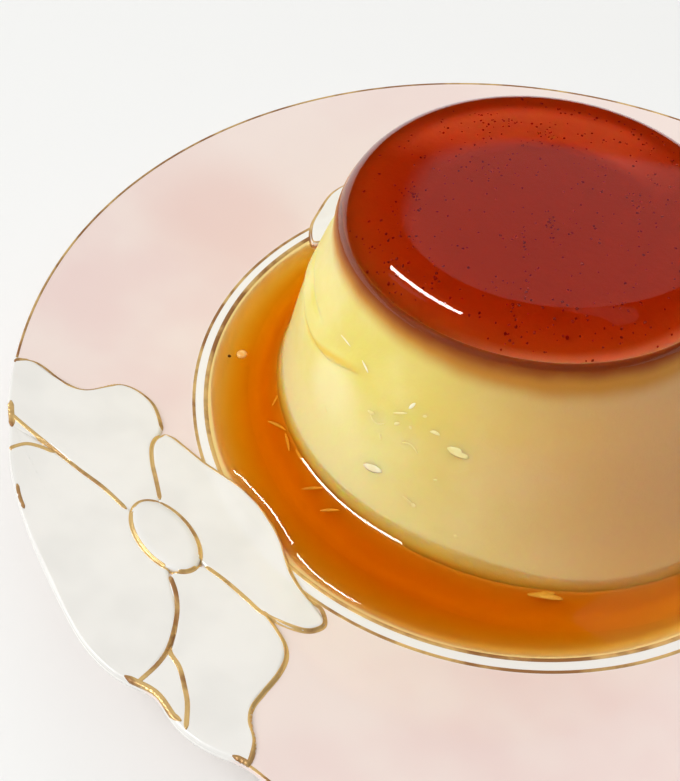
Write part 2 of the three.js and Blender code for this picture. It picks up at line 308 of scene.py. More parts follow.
def add_piece(name, points, quads, triangles, material, slot):
    """A mesh object from whole arrays, its faces turned outwards, riding on the part's body."""
    corners = points[quads]
    halves = (corners[:, [0, 1, 2]], corners[:, [0, 2, 3]], points[triangles])
    tris = np.concatenate([h for h in halves if len(h)])
    volume = np.einsum("ij,ij->i", tris[:, 0], np.cross(tris[:, 1], tris[:, 2])).sum()
    if volume < 0:
        quads, triangles = quads[:, ::-1], triangles[:, ::-1]
    loops = np.concatenate([quads.ravel(), triangles.ravel()]).astype(np.int32)
    sizes = np.concatenate([np.full(len(quads), 4), np.full(len(triangles), 3)])
    mesh = bpy.data.meshes.new(name)
    mesh.vertices.add(len(points))
    mesh.vertices.foreach_set("co", points.astype(np.float32).ravel())
    mesh.loops.add(len(loops))
    mesh.loops.foreach_set("vertex_index", loops)
    mesh.polygons.add(len(sizes))
    mesh.polygons.foreach_set("loop_start", (np.cumsum(sizes) - sizes).astype(np.int32))
    mesh.update(calc_edges=True)
    if mesh.validate():
        raise RuntimeError(f"{name}: the mesh had faces that Blender had to mend")
    mesh.shade_smooth()
    mesh.materials.append(material)
    piece = add_object(mesh)
    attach(piece, BODY)
    return piece


def loft(loops, ring=False):
    """Vertices and faces of a closed skin over loops of points, an array (loop, point, xyz).

    Neighbouring loops are joined. The last is joined to the first, or both are closed by fans.
    """
    n, m = loops.shape[:2]
    points = loops.reshape(-1, 3)
    row, column = np.meshgrid(np.arange(n if ring else n - 1), np.arange(m), indexing="ij")
    here, right = row * m + column, row * m + (column + 1) % m
    up = (row + 1) % n * m
    quads = np.stack([here, right, up + (column + 1) % m, up + column], axis=-1).reshape(-1, 4)
    if ring:
        return points, quads, np.zeros((0, 3), int)
    ends = np.stack([loops[0].mean(axis=0), loops[-1].mean(axis=0)])
    around = np.arange(m)
    after = (around + 1) % m
    first = np.stack([after, around, np.full(m, n * m)], axis=-1)
    last = np.stack([(n - 1) * m + around, (n - 1) * m + after, np.full(m, n * m + 1)], axis=-1)
    return np.vstack([points, ends]), quads, np.vstack([first, last])


def joined(parts):
    """Several (points, quads, triangles) as one."""
    points, quads, triangles, start = [], [], [], 0
    for part_points, part_quads, part_triangles in parts:
        points.append(part_points)
        quads.append(part_quads + start)
        triangles.append(part_triangles + start)
        start += len(part_points)
    return np.vstack(points), np.vstack(quads), np.vstack(triangles)


def turned_loops(radius, height, steps):
    """Loops round the Z axis from a profile: radius and height, one number for each loop."""
    theta = whole_turn(steps)
    x = radius[:, None] * np.cos(theta)
    y = radius[:, None] * np.sin(theta)
    return np.stack([x, y, np.broadcast_to(height[:, None], x.shape)], axis=-1)


# ------------------------------------------------------------------ materials


class Wire:
    """A value in a material's nodes. Python's arithmetic on it adds Math nodes."""

    def __init__(self, finish, socket):
        self.finish = finish
        self.socket = socket

    def maths(self, operation, *values):
        """A Math node of an operation on these values."""
        inputs = dict(enumerate(values))
        return self.finish.node("ShaderNodeMath", {"operation": operation}, inputs)

    def __add__(self, other):
        return self.maths("ADD", self, other)

    def __sub__(self, other):
        return self.maths("SUBTRACT", self, other)

    def __rsub__(self, other):
        return self.maths("SUBTRACT", other, self)

    def __mul__(self, other):
        return self.maths("MULTIPLY", self, other)

    def __truediv__(self, other):
        return self.maths("DIVIDE", self, other)

    def __rtruediv__(self, other):
        return self.maths("DIVIDE", other, self)

    def __pow__(self, other):
        return self.maths("POWER", self, other)

    __radd__ = __add__
    __rmul__ = __mul__

    def rise(self, low, high):
        """0 below low, 1 above high, smooth between them; the other way round if low > high."""
        start, stop = (0, 1) if low < high else (1, 0)
        low, high = min(low, high), max(low, high)
        return self.finish.node(
            "ShaderNodeMapRange",
            {"interpolation_type": "SMOOTHSTEP"},
            {"Value": self, "From Min": low, "From Max": high, "To Min": start, "To Max": stop},
        )

    def window(self, opens, full, closes, shut):
        """1 from full to closes and 0 beyond opens and shut, smooth on each side."""
        return self.rise(opens, full) * self.rise(shut, closes)


class Finish:
    """One material and the nodes that make it."""

    def __init__(self, name):
        self.material = bpy.data.materials.new(name)
        self.material.use_nodes = True
        self.tree = self.material.node_tree
        self.tree.nodes.clear()
        self.place = self.node("ShaderNodeTexCoord", output="Object")
        split = self.node("ShaderNodeSeparateXYZ", {}, {0: self.place}).socket.node
        self.axes = [Wire(self, socket) for socket in split.outputs]

    def node(self, kind, settings=None, inputs=None, output=0):
        """A node of a kind: its settings first, then the values or wires of its inputs."""
        made = self.tree.nodes.new(kind)
        for key, value in (settings or {}).items():
            setattr(made, key, value)
        for key, value in (inputs or {}).items():
            if isinstance(value, Wire):
                self.tree.links.new(value.socket, made.inputs[key])
            else:
                made.inputs[key].default_value = value
        return Wire(self, made.outputs[output]) if made.outputs else None

    def distance(self, *point):
        """Distance from a point, or from an upright line where only x and y are given."""
        first, *others = [(axis - value) ** 2 for axis, value in zip(self.axes, point)]
        return sum(others, first) ** 0.5

    def towards(self, angle, x=0, y=0):
        """How far a place lies from (x, y) in a level direction, given as an angle."""
        across, along, _ = self.axes
        return (across - x) * math.cos(angle) + (along - y) * math.sin(angle)

    def noise(self, size, detail=2, roughness=0.5):
        """Cloudy noise from 0 to 1 whose clouds are about size across."""
        inputs = {"Vector": self.place, "Scale": 1 / size, "Detail": detail, "Roughness": roughness}
        return self.node("ShaderNodeTexNoise", {"normalize": True}, inputs)

    def blend(self, factor, low, high):
        """The colour low where factor is 0 and high where it is 1."""
        low, high = (c if isinstance(c, Wire) else (*c, 1) for c in (low, high))
        settings = {"data_type": "RGBA", "clamp_factor": True}
        inputs = {"Factor": factor, 6: low, 7: high}
        return self.node("ShaderNodeMix", settings, inputs, output=2)

    def relief(self, height, distance):
        """A normal bent by a height from 0 to 1 that stands for a distance."""
        inputs = {"Height": height, "Distance": distance, "Strength": 1}
        return self.node("ShaderNodeBump", {}, inputs)

    def done(self, absorption=None, **inputs):
        """Ends the nodes in a Principled shader, with clear coloured depth where asked."""
        named = {key.replace("_", " "): value for key, value in inputs.items()}
        for key, value in named.items():
            if key.endswith("Color") and not isinstance(value, Wire):
                named[key] = (*value, 1)
        ends = {"Surface": self.node("ShaderNodeBsdfPrincipled", {}, named)}
        if absorption is not None:
            density = max(absorption)
            passed = [1 - taken / density for taken in absorption]
            depth = {"Color": (*passed, 1), "Density": density}
            ends["Volume"] = self.node("ShaderNodeVolumeAbsorption", {}, depth)
        self.node("ShaderNodeOutputMaterial", {}, ends)
        return self.material


def glaze_finish(name, colour_of):
    """Glossy porcelain glaze. colour_of takes the finish and gives its colour."""
    finish = Finish(name)
    return finish.done(
        Base_Color=colour_of(finish),
        Roughness=0.28 + finish.noise(30 * MM) * 0.1,
        Coat_Weight=0.7,
        Coat_Roughness=0.06,
        Normal=finish.relief(finish.noise(14 * MM, detail=1), 0.06 * MM),
    )


def clear_finish(name, absorption):
    """A clear glossy jelly or syrup whose colour deepens with its thickness."""
    finish = Finish(name)
    return finish.done(
        absorption=absorption,
        Base_Color=(1, 1, 1),
        Roughness=0.02,
        IOR=1.4,
        Transmission_Weight=1.0,
        Normal=finish.relief(finish.noise(7 * MM, detail=1), 0.02 * MM),
    )


def plain_finish(name, light, dark, size, roughness):
    """Small bits of one stuff, each a little different in colour."""
    finish = Finish(name)
    tone = finish.noise(size, detail=1).rise(0.35, 0.65)
    return finish.done(Base_Color=finish.blend(tone, light, dark), Roughness=roughness)


# ------------------------------------------------------------------ plate

# How much steeper than a parabola the well's wall sets out.
WELL_CURVE = 1.6
# Scallops of the rim: angle, how far it is drawn out in mm, half width in degrees.
SCALLOPS = np.array([
    [-154, -0.3, 3.0], [-139, -0.2, 7.0], [-125, 0.7, 5.0], [-117, -1.3, 2.8], [-106, -0.9, 3.0],
])
# How far outside the outer ring the scallops begin to draw the rim in or out.
SCALLOP_START = 8 * MM
# Underside from the rim's edge in to the axis: radius and height in mm.
UNDERSIDE = [
    [75.85, 16.3], [76.0, 15.95], [75.8, 15.0], [74, 13.8], [54.2, 8.6], [48.9, 6.7],
    [44.9, 3.0], [43.7, 0], [40.3, 0], [39.3, 2.4], [0.5, 2.4],
]
# Beside the large blossom the lip is bare white: which way that is, and how far out it begins.
BARE_EDGE, BARE_START = math.radians(-131.5), 68.2 * MM
# Middle of the rim's rosiest cloud.
ROSY_CLOUD = (-56 * MM, 25 * MM)
# How far beyond the custard's wall the bed takes on the colour of its steeped foot. This darkens the bed
# towards the pudding: partly the foot's colour, partly a painted shade.
STEEPED_SHADE_REACH = 7 * MM


def glaze_height(r):
    """Height of the plate's top: flat floor, wall h t^2 (c - (c - 1) t), flat band, straight rim.

    The corners are softened by taking the mean over half a millimetre each way.
    """
    plate = bpy.context.scene.pudding_plate
    near = r[..., None] + np.linspace(-0.5, 0.5, 7) * MM
    t = np.clip((near - plate.well_radius) / (plate.ring_inner - plate.well_radius), 0, 1)
    wall = (plate.band_height - plate.well_floor) * t * t * (WELL_CURVE - (WELL_CURVE - 1) * t)
    slope = (plate.rim_height - plate.band_height) / (plate.radius - plate.ring_outer)
    rim = slope * np.maximum(near - plate.ring_outer, 0)
    return (plate.well_floor + wall + rim).mean(axis=-1)


def scallop_scale(x, y):
    """How much the rim is drawn out at a place: 1 + fade(r) sum(depth bump(angle)) / radius."""
    plate = bpy.context.scene.pudding_plate
    angle = np.degrees(np.arctan2(y, x))
    depth = sum(size * MM * bump(angle, centre, width) for centre, size, width in SCALLOPS)
    fade = smoothstep(plate.ring_outer + SCALLOP_START, plate.radius, np.hypot(x, y))
    return 1 + fade * depth / plate.radius


def rounded_profile(corners, radius):
    """Points of a profile whose inner corners are turned by quadratic arcs of that reach."""
    before, at, after = corners[:-2], corners[1:-1], corners[2:]
    back, on = before - at, after - at
    reach = np.minimum(radius, 0.45 * np.minimum(*(np.linalg.norm(v, axis=1) for v in (back, on))))
    start = at + back / np.linalg.norm(back, axis=1)[:, None] * reach[:, None]
    stop = at + on / np.linalg.norm(on, axis=1)[:, None] * reach[:, None]
    t = np.linspace(0, 1, 5)[None, :, None]
    arcs = start[:, None] * (1 - t) ** 2 + at[:, None] * 2 * t * (1 - t) + stop[:, None] * t**2
    return np.vstack([corners[:1], arcs.reshape(-1, 2), corners[-1:]])


def bed_colour(finish):
    """Glaze of the well: painted brighter under the sauce, painted shade in front, honeyed at its brim, and
    steeped beside the custard, which is partly painted shade.
    """
    plate = bpy.context.scene.pudding_plate
    custard = bpy.context.scene.pudding_custard
    brim = plate.ring_inner
    across, along, _ = finish.axes
    out = finish.distance(0, 0)
    front = (across * 0.5 - along).rise(-30 * MM, 45 * MM)
    # Painted shade: this mask darkens the glaze under the sauce towards the front, where the sauce lies in
    # shade.
    shaded_front = out.rise(brim - 0.4 * MM, brim - 2.5 * MM) * front
    # Painted light: inside the brim the glaze is made brighter under the sauce.
    bed = finish.blend(out.rise(brim, brim - 1.5 * MM), plate.white, plate.soaked)
    bed = finish.blend(shaded_front, bed, plate.stained)
    # Partly painted shade: the bed takes on the steeped foot's colour and darkens towards the pudding.
    bed = finish.blend(beyond_foot(finish).rise(STEEPED_SHADE_REACH, 0), bed, custard.steeped)
    film = out.window(brim - 3 * MM, brim - 1.2 * MM, brim, brim + 0.2 * MM)
    return finish.blend(film, bed, plate.honeyed)


def on_lip(finish):
    """A mask of the outermost millimetre of the rim."""
    radius = bpy.context.scene.pudding_plate.radius
    return finish.distance(0, 0).rise(radius - 1.2 * MM, radius - 0.9 * MM)


def plate_colour(finish):
    """White glaze, with a pink rim sprayed on outside the outer ring in soft rosy clouds."""
    plate = bpy.context.scene.pudding_plate
    _, along, _ = finish.axes
    cloud = finish.noise(26 * MM, detail=3, roughness=0.55).rise(0.38, 0.72)
    fresh = cloud * (1 - along.rise(0, plate.radius) * 0.6)
    rim = finish.blend(fresh, plate.blush, plate.rose)
    rosiest = finish.distance(*ROSY_CLOUD).rise(19 * MM, 4 * MM)
    rim = finish.blend(rosiest * 0.75, rim, plate.flushed)
    bare = finish.towards(BARE_EDGE).rise(BARE_START, BARE_START + 0.8 * MM) * on_lip(finish)
    rim = finish.blend(bare, rim, plate.white)
    spray = finish.distance(0, 0).rise(plate.ring_outer, plate.ring_outer + 0.5 * MM)
    return finish.blend(spray, bed_colour(finish), rim)


def make_plate():
    """The plate: its top and underside as one profile carried round, with the scalloped rim."""
    plate = bpy.context.scene.pudding_plate
    floor = np.linspace(0.5 * MM, plate.well_radius - 1 * MM, 6)
    wall = np.linspace(plate.well_radius - 0.5 * MM, plate.ring_outer + 1 * MM, 34)
    rim = np.linspace(plate.ring_outer + 1.4 * MM, plate.radius - 0.45 * MM, 44)
    radii = np.concatenate([floor, wall, rim])
    top = np.stack([radii, glaze_height(radii)], axis=1)
    under = rounded_profile(np.vstack([top[-1:], MM * np.array(UNDERSIDE)]), 0.6 * MM)
    profile = np.vstack([top, under[1:]])
    loops = turned_loops(profile[:, 0], profile[:, 1], 480)
    scale = scallop_scale(loops[..., 0], loops[..., 1])
    loops[..., :2] *= scale[..., None]
    finish = glaze_finish("porcelain_plate", plate_colour)
    piece = add_piece("porcelain_plate", *loft(loops), finish, "porcelain")
    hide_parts("plate")


# ------------------------------------------------------------------ blossoms

# How far inside the rim's edge a petal ends, how steeply it droops over the well, and how far in
# from their edges a petal and a heart are rounded.
PETAL_EDGE = 0.12 * MM
PETAL_DROOP = 0.08
PETAL_ROUND, HEART_ROUND = 0.5 * MM, 1.4 * MM
# Rings of points from the middle of a raised tile out to its edge.
TILE_RINGS = 24
# Petals of the two blossoms: the middle, then turning points of the outline, in millimetres.
PETALS = {
    "large_left": ([-60, -27], [
        [-75.5, -21.4], [-71.2, -19.3], [-66.0, -20.8], [-61.7, -21.2], [-57.3, -17.8], [-52.6, -18.8],
        [-48.8, -23.6], [-48.9, -27.4], [-47.0, -31.7], [-44.3, -37.0], [-47.8, -40.0], [-56.2, -36.0],
        [-62.4, -33.3], [-71.5, -31.8],
    ]),
    "large_front": ([-50, -50], [
        [-71.2, -31.0], [-64.8, -32.9], [-56.2, -35.7], [-47.8, -39.5], [-40.0, -46.0], [-38.5, -48.5],
        [-35.4, -54.3], [-34.6, -59.5], [-37.5, -67.2], [-52.0, -57.5], [-65.0, -42.0],
    ]),
    "large_right": ([-27.5, -61], [
        [-38.5, -48.5], [-34.8, -45.2], [-29.5, -47.6], [-25.2, -49.7], [-21.1, -53.9], [-20.6, -58.4],
        [-22.2, -64.3], [-20.0, -70.2], [-20.6, -72.4], [-30.5, -71.0], [-36.8, -66.2], [-34.4, -59.5],
        [-35.6, -54.0],
    ]),
    "large_inner": ([-36, -38], [
        [-48.1, -24.3], [-44.8, -25.3], [-40.6, -27.3], [-35.2, -29.6], [-30.5, -32.8], [-26.9, -36.7],
        [-23.6, -42.1], [-20.4, -45.3], [-17.2, -48.9], [-19.6, -50.8], [-25.3, -50.0], [-31.3, -46.7],
        [-34.8, -45.2], [-44.3, -37.0], [-47.2, -31.7], [-48.9, -26.8],
    ]),
    "small_inner": ([-29, 40], [
        [-38.4, 24.8], [-39.9, 28.7], [-39.5, 33.0], [-38.4, 37.8], [-36.0, 41.2], [-31.0, 44.4],
        [-26.5, 46.2], [-22.0, 49.5], [-13.5, 52.0], [-10.6, 49.6], [-13.5, 46.4], [-21.0, 40.8],
        [-28.5, 34.6], [-34.0, 28.3],
    ]),
    "small_left": ([-26, 55], [
        [-31.0, 49.0], [-31.8, 53.2], [-30.0, 57.2], [-26.2, 60.8], [-21.0, 62.6], [-18.2, 61.0],
        [-20.0, 56.6], [-25.5, 50.5],
    ]),
    "small_right": ([-11, 58], [
        [-20.5, 55.0], [-17.0, 59.2], [-11.0, 63.4], [-4.8, 62.8], [-1.4, 58.6], [-3.6, 54.6],
        [-9.0, 53.2], [-15.0, 52.0],
    ]),
}
# Hearts of the blossoms: radius, angle, half length, half width and turn, in mm and degrees.
HEARTS = {"large": (59.2, -134.3, 6.8, 3.7, 4), "small": (57.0, 113.0, 5.2, 2.9, 0)}


def rim_limit(x, y):
    """Radius that a petal may reach in a direction: just short of the scalloped rim's edge."""
    plate = bpy.context.scene.pudding_plate
    reach = np.hypot(x, y)
    edge = plate.radius - PETAL_EDGE
    return edge * scallop_scale(x / reach * edge, y / reach * edge)


def within_rim(path, margin=0.0):
    """A path on the plate, pulled in where it would pass the rim's edge."""
    limit = rim_limit(path[:, 0], path[:, 1]) - margin
    return path * np.minimum(1, limit / from_centre(path))[:, None]


def petal_outline(name, steps=24):
    """Closed outline of a petal, cut off at the rim."""
    return within_rim(closed_spline(np.array(PETALS[name][1]) * MM, steps))


def heart_outline(name):
    """An oval with its long side across the plate's radius."""
    radius, angle, half_length, half_width, turn = HEARTS[name]
    at, tilt = np.radians(angle), np.radians(angle + 90 + turn)
    t = whole_turn(160)
    long, short = half_length * np.cos(t), half_width * np.sin(t)
    x = radius * np.cos(at) + long * np.cos(tilt) - short * np.sin(tilt)
    y = radius * np.sin(at) + long * np.sin(tilt) + short * np.cos(tilt)
    return np.stack([x, y], axis=1) * MM


def crown(distance, reach):
    """Rounded edge: sqrt(1 - (1 - d)^2), d being the distance in from the edge over reach."""
    return np.sqrt(1 - (1 - np.clip(distance / reach, 0, 1)) ** 2)


def petal_base(xy):
    """Height that a petal is raised from: the glaze, or over the well a little below the band."""
    plate = bpy.context.scene.pudding_plate
    r = from_centre(xy)
    over_well = plate.band_height - PETAL_DROOP * np.maximum(plate.ring_inner - r, 0)
    return np.maximum(glaze_height(r), over_well)


def raised_height(xy):
    """Height of the plate with its blossoms on it, at an array of places (n, 2)."""
    plate = bpy.context.scene.pudding_plate
    height = glaze_height(from_centre(xy))
    for name in PETALS:
        outline = petal_outline(name, 12)
        within = inside(xy, outline)
        lift = plate.relief * crown(nearest(xy, outline), PETAL_ROUND)
        height = np.where(within, np.maximum(height, petal_base(xy) + lift), height)
    for name in HEARTS:
        outline = heart_outline(name)
        lift = plate.heart_relief * crown(nearest(xy, outline), HEART_ROUND)
        height = np.where(inside(xy, outline), height + lift, height)
    return height


def tile_loops(outline, middle, start, relief, reach):
    """A raised tile: rings from the middle out to the outline, then back below the glaze.

    Ring k of n is the outline shrunk towards the middle by sin(pi k / 2n). The tile's edge stands
    start over the petals' base and is rounded up to relief more, over reach.
    """
    out = np.concatenate([np.sin(np.linspace(0.02, 1, TILE_RINGS) * np.pi / 2), [1, 0.5, 0.02]])
    xy = middle + (outline - middle)[None] * out[:, None, None]
    flat = xy.reshape(-1, 2)
    top = petal_base(flat) + (start + relief * crown(nearest(flat, outline), reach))
    sunk = glaze_height(from_centre(xy)) - 0.5 * MM
    on_top = np.arange(len(out))[:, None] < TILE_RINGS
    return with_height(xy, np.where(on_top, top.reshape(xy.shape[:2]), sunk))


def blossom_colour(finish):
    """White glaze, faintly greyer in thin places."""
    white = bpy.context.scene.pudding_plate.white
    grey = tuple(0.93 * part for part in white)
    return finish.blend(finish.noise(9 * MM).rise(0.35, 0.75), white, grey)


def make_blossoms():
    """The petals and hearts, each a tile raised from the glaze with a rounded edge."""
    plate = bpy.context.scene.pudding_plate
    finish = glaze_finish("porcelain_blossom", blossom_colour)
    for name, (middle, _) in PETALS.items():
        middle = np.array(middle) * MM
        loops = tile_loops(petal_outline(name), middle, 0, plate.relief, PETAL_ROUND)
        add_piece(f"petal_{name}", *loft(loops), finish, "porcelain")
    for name, (radius, angle, *_) in HEARTS.items():
        at = np.radians(angle)
        middle = np.array([radius * np.cos(at), radius * np.sin(at)]) * MM
        loops = tile_loops(heart_outline(name), middle, plate.relief, plate.heart_relief, HEART_ROUND)
        add_piece(f"heart_{name}", *loft(loops), finish, "porcelain")


# ------------------------------------------------------------------ gilding

# Gilt lines that divide and edge the large blossom, in millimetres.
GILT_LINES = {
    "left_top": [
        [-74, -21.2], [-70.6, -19.3], [-66, -20.8], [-63.7, -21.5], [-61.7, -21.2], [-58.7, -18.9],
        [-57.3, -17.8], [-55.5, -17.7], [-53.3, -18.4], [-51.6, -19.5], [-50, -21.6], [-48.8, -23.6],
    ],
    "left_front": [
        [-69.0, -30.3], [-66.7, -31.4], [-62.4, -33.3], [-56.2, -36], [-52.2, -37.6], [-47.8, -40],
    ],
    "front_top": [[-66.5, -36.9], [-65.9, -35.8], [-64.6, -34.6], [-62.7, -34.3], [-60.6, -34.5]],
    "inner_left": [
        [-48, -24.4], [-48.9, -25.8], [-48.9, -27.4], [-47.8, -30.3], [-46.2, -33.1], [-44.3, -36.5],
    ],
    "inner_edge": [
        [-48.1, -24.3], [-46.8, -24.4], [-44.8, -25.3], [-40.6, -27.3], [-35.2, -29.6], [-32.5, -30.8],
        [-30.5, -32.8], [-26.9, -36.7], [-23.6, -42.1], [-20.4, -45.3], [-18.3, -46.4], [-17.2, -48.9],
        [-18, -50.1], [-19.6, -50.8], [-25.3, -50], [-28, -48.5], [-31.3, -46.7], [-34.8, -45.2],
    ],
    "right_edge": [
        [-25.2, -49.7], [-23.1, -51.6], [-21.1, -53.9], [-20.4, -55.9], [-20.6, -58.4], [-21.6, -61.8],
        [-22.2, -64.3], [-21.9, -66.2], [-20.6, -68.5], [-20.2, -72.6],
    ],
    "front_right": [
        [-38.5, -48.5], [-36.8, -50.9], [-35.4, -54.3], [-34.6, -59.5], [-34.9, -62], [-36.4, -66.0],
    ],
    "right_inside": [
        [-34.7, -58.8], [-34.2, -60.0], [-32.4, -61.7], [-30.7, -64.4], [-29.7, -66.3], [-28.6, -69.8],
    ],
}
# Where the gilding is laid on thick at the rim: points in millimetres and a width.
GILT_PATCHES = [
    ([[-70.4, -28.2], [-69.5, -30.4], [-68.2, -32.8]], 0.9 * MM),
    ([[-62.7, -41.8], [-61.5, -43.6], [-60.0, -45.4]], 0.5 * MM),
    ([[-38.3, -65.6], [-35.5, -66.8], [-32.6, -67.8], [-29.5, -68.9]], 0.8 * MM),
    ([[-22.6, -71.9], [-21.1, -72.5], [-19.9, -72.8]], 0.7 * MM),
]
# How high a gilt line stands over the glaze, and how deep its foot is sunk.
GILT_RISE, GILT_SINK = 0.07 * MM, 0.25 * MM


def gilt_finish():
    """Burnished gold, worn to brown where it is thin."""
    plate = bpy.context.scene.pudding_plate
    finish = Finish("gilding")
    thin = finish.noise(4 * MM, detail=4) * 0.5 + finish.noise(17 * MM) * 0.5
    wear = (thin + on_lip(finish) * 0.05).rise(0.44, 0.6)
    return finish.done(
        Base_Color=finish.blend(wear, plate.gold, plate.worn_gold),
        Metallic=0.35 - wear * 0.1,
        Roughness=0.3 + wear * 0.2,
        Normal=finish.relief(finish.noise(0.9 * MM, detail=3), 0.05 * MM),
    )


def gilt_loops(path, width, closed, height_of):
    """A raised gilt line: at each step of the path, an arch over the surface and a sunk foot.

    Across the line, point phi of the arch is at width / 2 cos(phi), rise sin(phi).
    """
    if closed:
        along = np.roll(path, -1, axis=0) - np.roll(path, 1, axis=0)
        taper = np.ones(len(path))
    else:
        along = np.gradient(path, axis=0)
        walked = np.concatenate([[0], np.cumsum(np.linalg.norm(np.diff(path, axis=0), axis=1))])
        taper = np.clip(np.minimum(walked, walked[-1] - walked) / width, 0.05, 1) ** 0.5
    side = np.stack([along[:, 1], -along[:, 0]], axis=1) / np.linalg.norm(along, axis=1)[:, None]
    arch = np.linspace(0, np.pi, 9)
    across = np.concatenate([np.cos(arch), [-0.9, 0.9]])
    up = np.concatenate([GILT_RISE * np.sin(arch), [-GILT_SINK, -GILT_SINK]])
    xy = path[:, None] + side[:, None] * (width / 2 * taper[:, None] * across)[..., None]
    return with_height(xy, height_of(xy.reshape(-1, 2)).reshape(xy.shape[:2]) + up)


def circle(radius):
    """A circle about the plate's centre, drawn in or out where the rim is scalloped."""
    t = whole_turn(720)
    xy = radius * np.stack([np.cos(t), np.sin(t)], axis=1)
    return xy * scallop_scale(xy[:, 0], xy[:, 1])[:, None]


def make_gilding():
    """The gilt lines: two rings, the rim's edge, and the outlines of petals and hearts."""
    plate = bpy.context.scene.pudding_plate
    finish = gilt_finish()

    def plate_height(xy):
        """Height of the plate without its blossoms, its scallops undone."""
        return glaze_height(from_centre(xy / scallop_scale(xy[:, 0], xy[:, 1])[:, None]))

    rings = {
        "gilt_ring_inner": (plate.ring_inner, 0.65 * MM),
        "gilt_ring_outer": (plate.ring_outer, 0.5 * MM),
        "gilt_rim": (plate.radius - 0.4 * MM, 0.36 * MM),
    }
    for name, (radius, width) in rings.items():
        loops = gilt_loops(circle(radius), width, True, plate_height)
        add_piece(name, *loft(loops, ring=True), finish, "porcelain")

    lines = []
    for knots, width in [(k, plate.gilt_width) for k in GILT_LINES.values()] + GILT_PATCHES:
        path = within_rim(open_spline(np.array(knots) * MM, 14), 0.5 * width)
        lines.append(loft(gilt_loops(path, width, False, raised_height)))
    for name in HEARTS:
        loops = gilt_loops(heart_outline(name), plate.gilt_width, True, raised_height)
        lines.append(loft(loops, ring=True))
    for name in PETALS:
        if name.startswith("small"):
            loops = gilt_loops(petal_outline(name, 14), plate.gilt_width, True, raised_height)
            lines.append(loft(loops, ring=True))
    add_piece("gilt_outlines", *joined(lines), finish, "porcelain")


# ------------------------------------------------------------------ custard

# Share of the shoulder's radius below its level top at which the wall turns into its round.
SHOULDER_TURN = 0.75
# The waist under the caramel: height above the sauce, depth and half width.
WAIST_HEIGHT, WAIST_DEPTH, WAIST_WIDTH = 26 * MM, 0.8 * MM, 4 * MM
# How narrow the slump is round the foot, and the height over which it dies away.
SLUMP_FOCUS, SLUMP_HEIGHT = 4, 6 * MM
WALL_STEPS = 420

# How far the stained custard reaches up over the foot of the set caramel, how far it stands out
# there, and how far its thin edge sinks into the caramel.
COLLAR, COLLAR_PROUD, COLLAR_TUCK = 1.9 * MM, 0.1 * MM, 0.25 * MM
# How far the custard's foot spreads under the sauce.
FOOT_SPREAD = 6 * MM
# The crease where the custard has settled: angle and height above the sauce, in mm.
CREASE = np.array([
    [-186, 16.4], [-170.7, 16.7], [-163, 16.9], [-157, 16.8], [-151, 17.0], [-145, 17.3],
    [-139.8, 17.9], [-134.8, 19.1], [-131.9, 19.8], [-126, 21.0],
])
# Angles at which the crease opens, is full, begins to close and ends, and the wrinkle's end.
CREASE_SPAN = (-186, -172, -133, -127)
WRINKLE_END = (-155, -147)
# The lip over the crease, its groove and the wrinkle: depth, height over it and width, in mm.
LIP, GROOVE, WRINKLE = (0.4, 0.9, 1.5), (0.3, -0.15, 0.5), (0.35, 3.4, 0.4)
# Where the crease's painted shade lies above the sauce, and how far it turns up towards the front.
CREASE_HEIGHT, CREASE_CLIMB = 16.8 * MM, 4.4 * MM
# Small dents: angle, height above the sauce in mm, radius in mm, depth in mm.
DENTS = np.array([
    [-118.6, 17.2, 1.0, 0.15], [-108.9, 16.4, 1.1, 0.12], [-97.5, 16.4, 1.2, 0.2],
])
# Middle of a painted light patch on the wall, below the crease, where the wall faces the light.
PAINTED_LIGHT_PATCH = (-24 * MM, -20 * MM, 25 * MM)
# The painted light ring under the caramel, where light comes through its shoulder, out from the axis:
# behind, where it begins, is full, begins to fade and ends, and in front, where it begins and is full.
PAINTED_GLOW_BEHIND = (14 * MM, 18 * MM, 22.5 * MM, 25.5 * MM)
PAINTED_GLOW_FRONT = (23.5 * MM, 25.5 * MM)


def beyond_foot(finish):
    """Distance outwards from where the custard's wall meets the sauce's level."""
    custard = bpy.context.scene.pudding_custard
    out = finish.distance(*custard.axis)
    side = finish.towards(custard.slump_angle, *custard.axis)
    return out - ((side / out + 1) * 0.5) ** SLUMP_FOCUS * custard.slump - custard.foot


def steeped_finish():
    """Custard that stands in the sauce, of the bed's colour so that the two run together."""
    finish = Finish("steeped_custard")
    return finish.done(Base_Color=bed_colour(finish), Roughness=0.5)


def cloudy_custard(finish, shaded_side):
    """Lemon custard in pale clouds, painted tan as shade on the side away from the light, paler low in
    front, and with a painted light patch.
    """
    custard = bpy.context.scene.pudding_custard
    _, along, height = finish.axes
    cloud = finish.noise(16 * MM, detail=3).rise(0.35, 0.75)
    body = finish.blend(cloud * 0.7, custard.lemon, custard.cream)
    body = finish.blend(shaded_side, body, custard.tan)
    low = height.rise(29 * MM, 13 * MM) * along.rise(4 * MM, -16 * MM) * (1 - shaded_side)
    body = finish.blend(low * 0.8, body, custard.cream)
    # Painted light: a pale patch below the crease, where the wall faces the light.
    return finish.blend(finish.distance(*PAINTED_LIGHT_PATCH).rise(7 * MM, 2 * MM), body, custard.cream)


def in_crease_shade(finish):
    """A mask of the painted shade in the settled crease on the left, which turns up towards the front."""
    across, along, height = finish.axes
    turned_up = along.rise(-12 * MM, -24 * MM) * CREASE_CLIMB
    over = height - turned_up - (POOL_TOP.z + CREASE_HEIGHT)
    within = along.rise(-23.5 * MM, -19 * MM) * across.rise(-8 * MM, -20 * MM)
    return over.window(-1 * MM, 0, 0.1 * MM, 1.1 * MM) * within


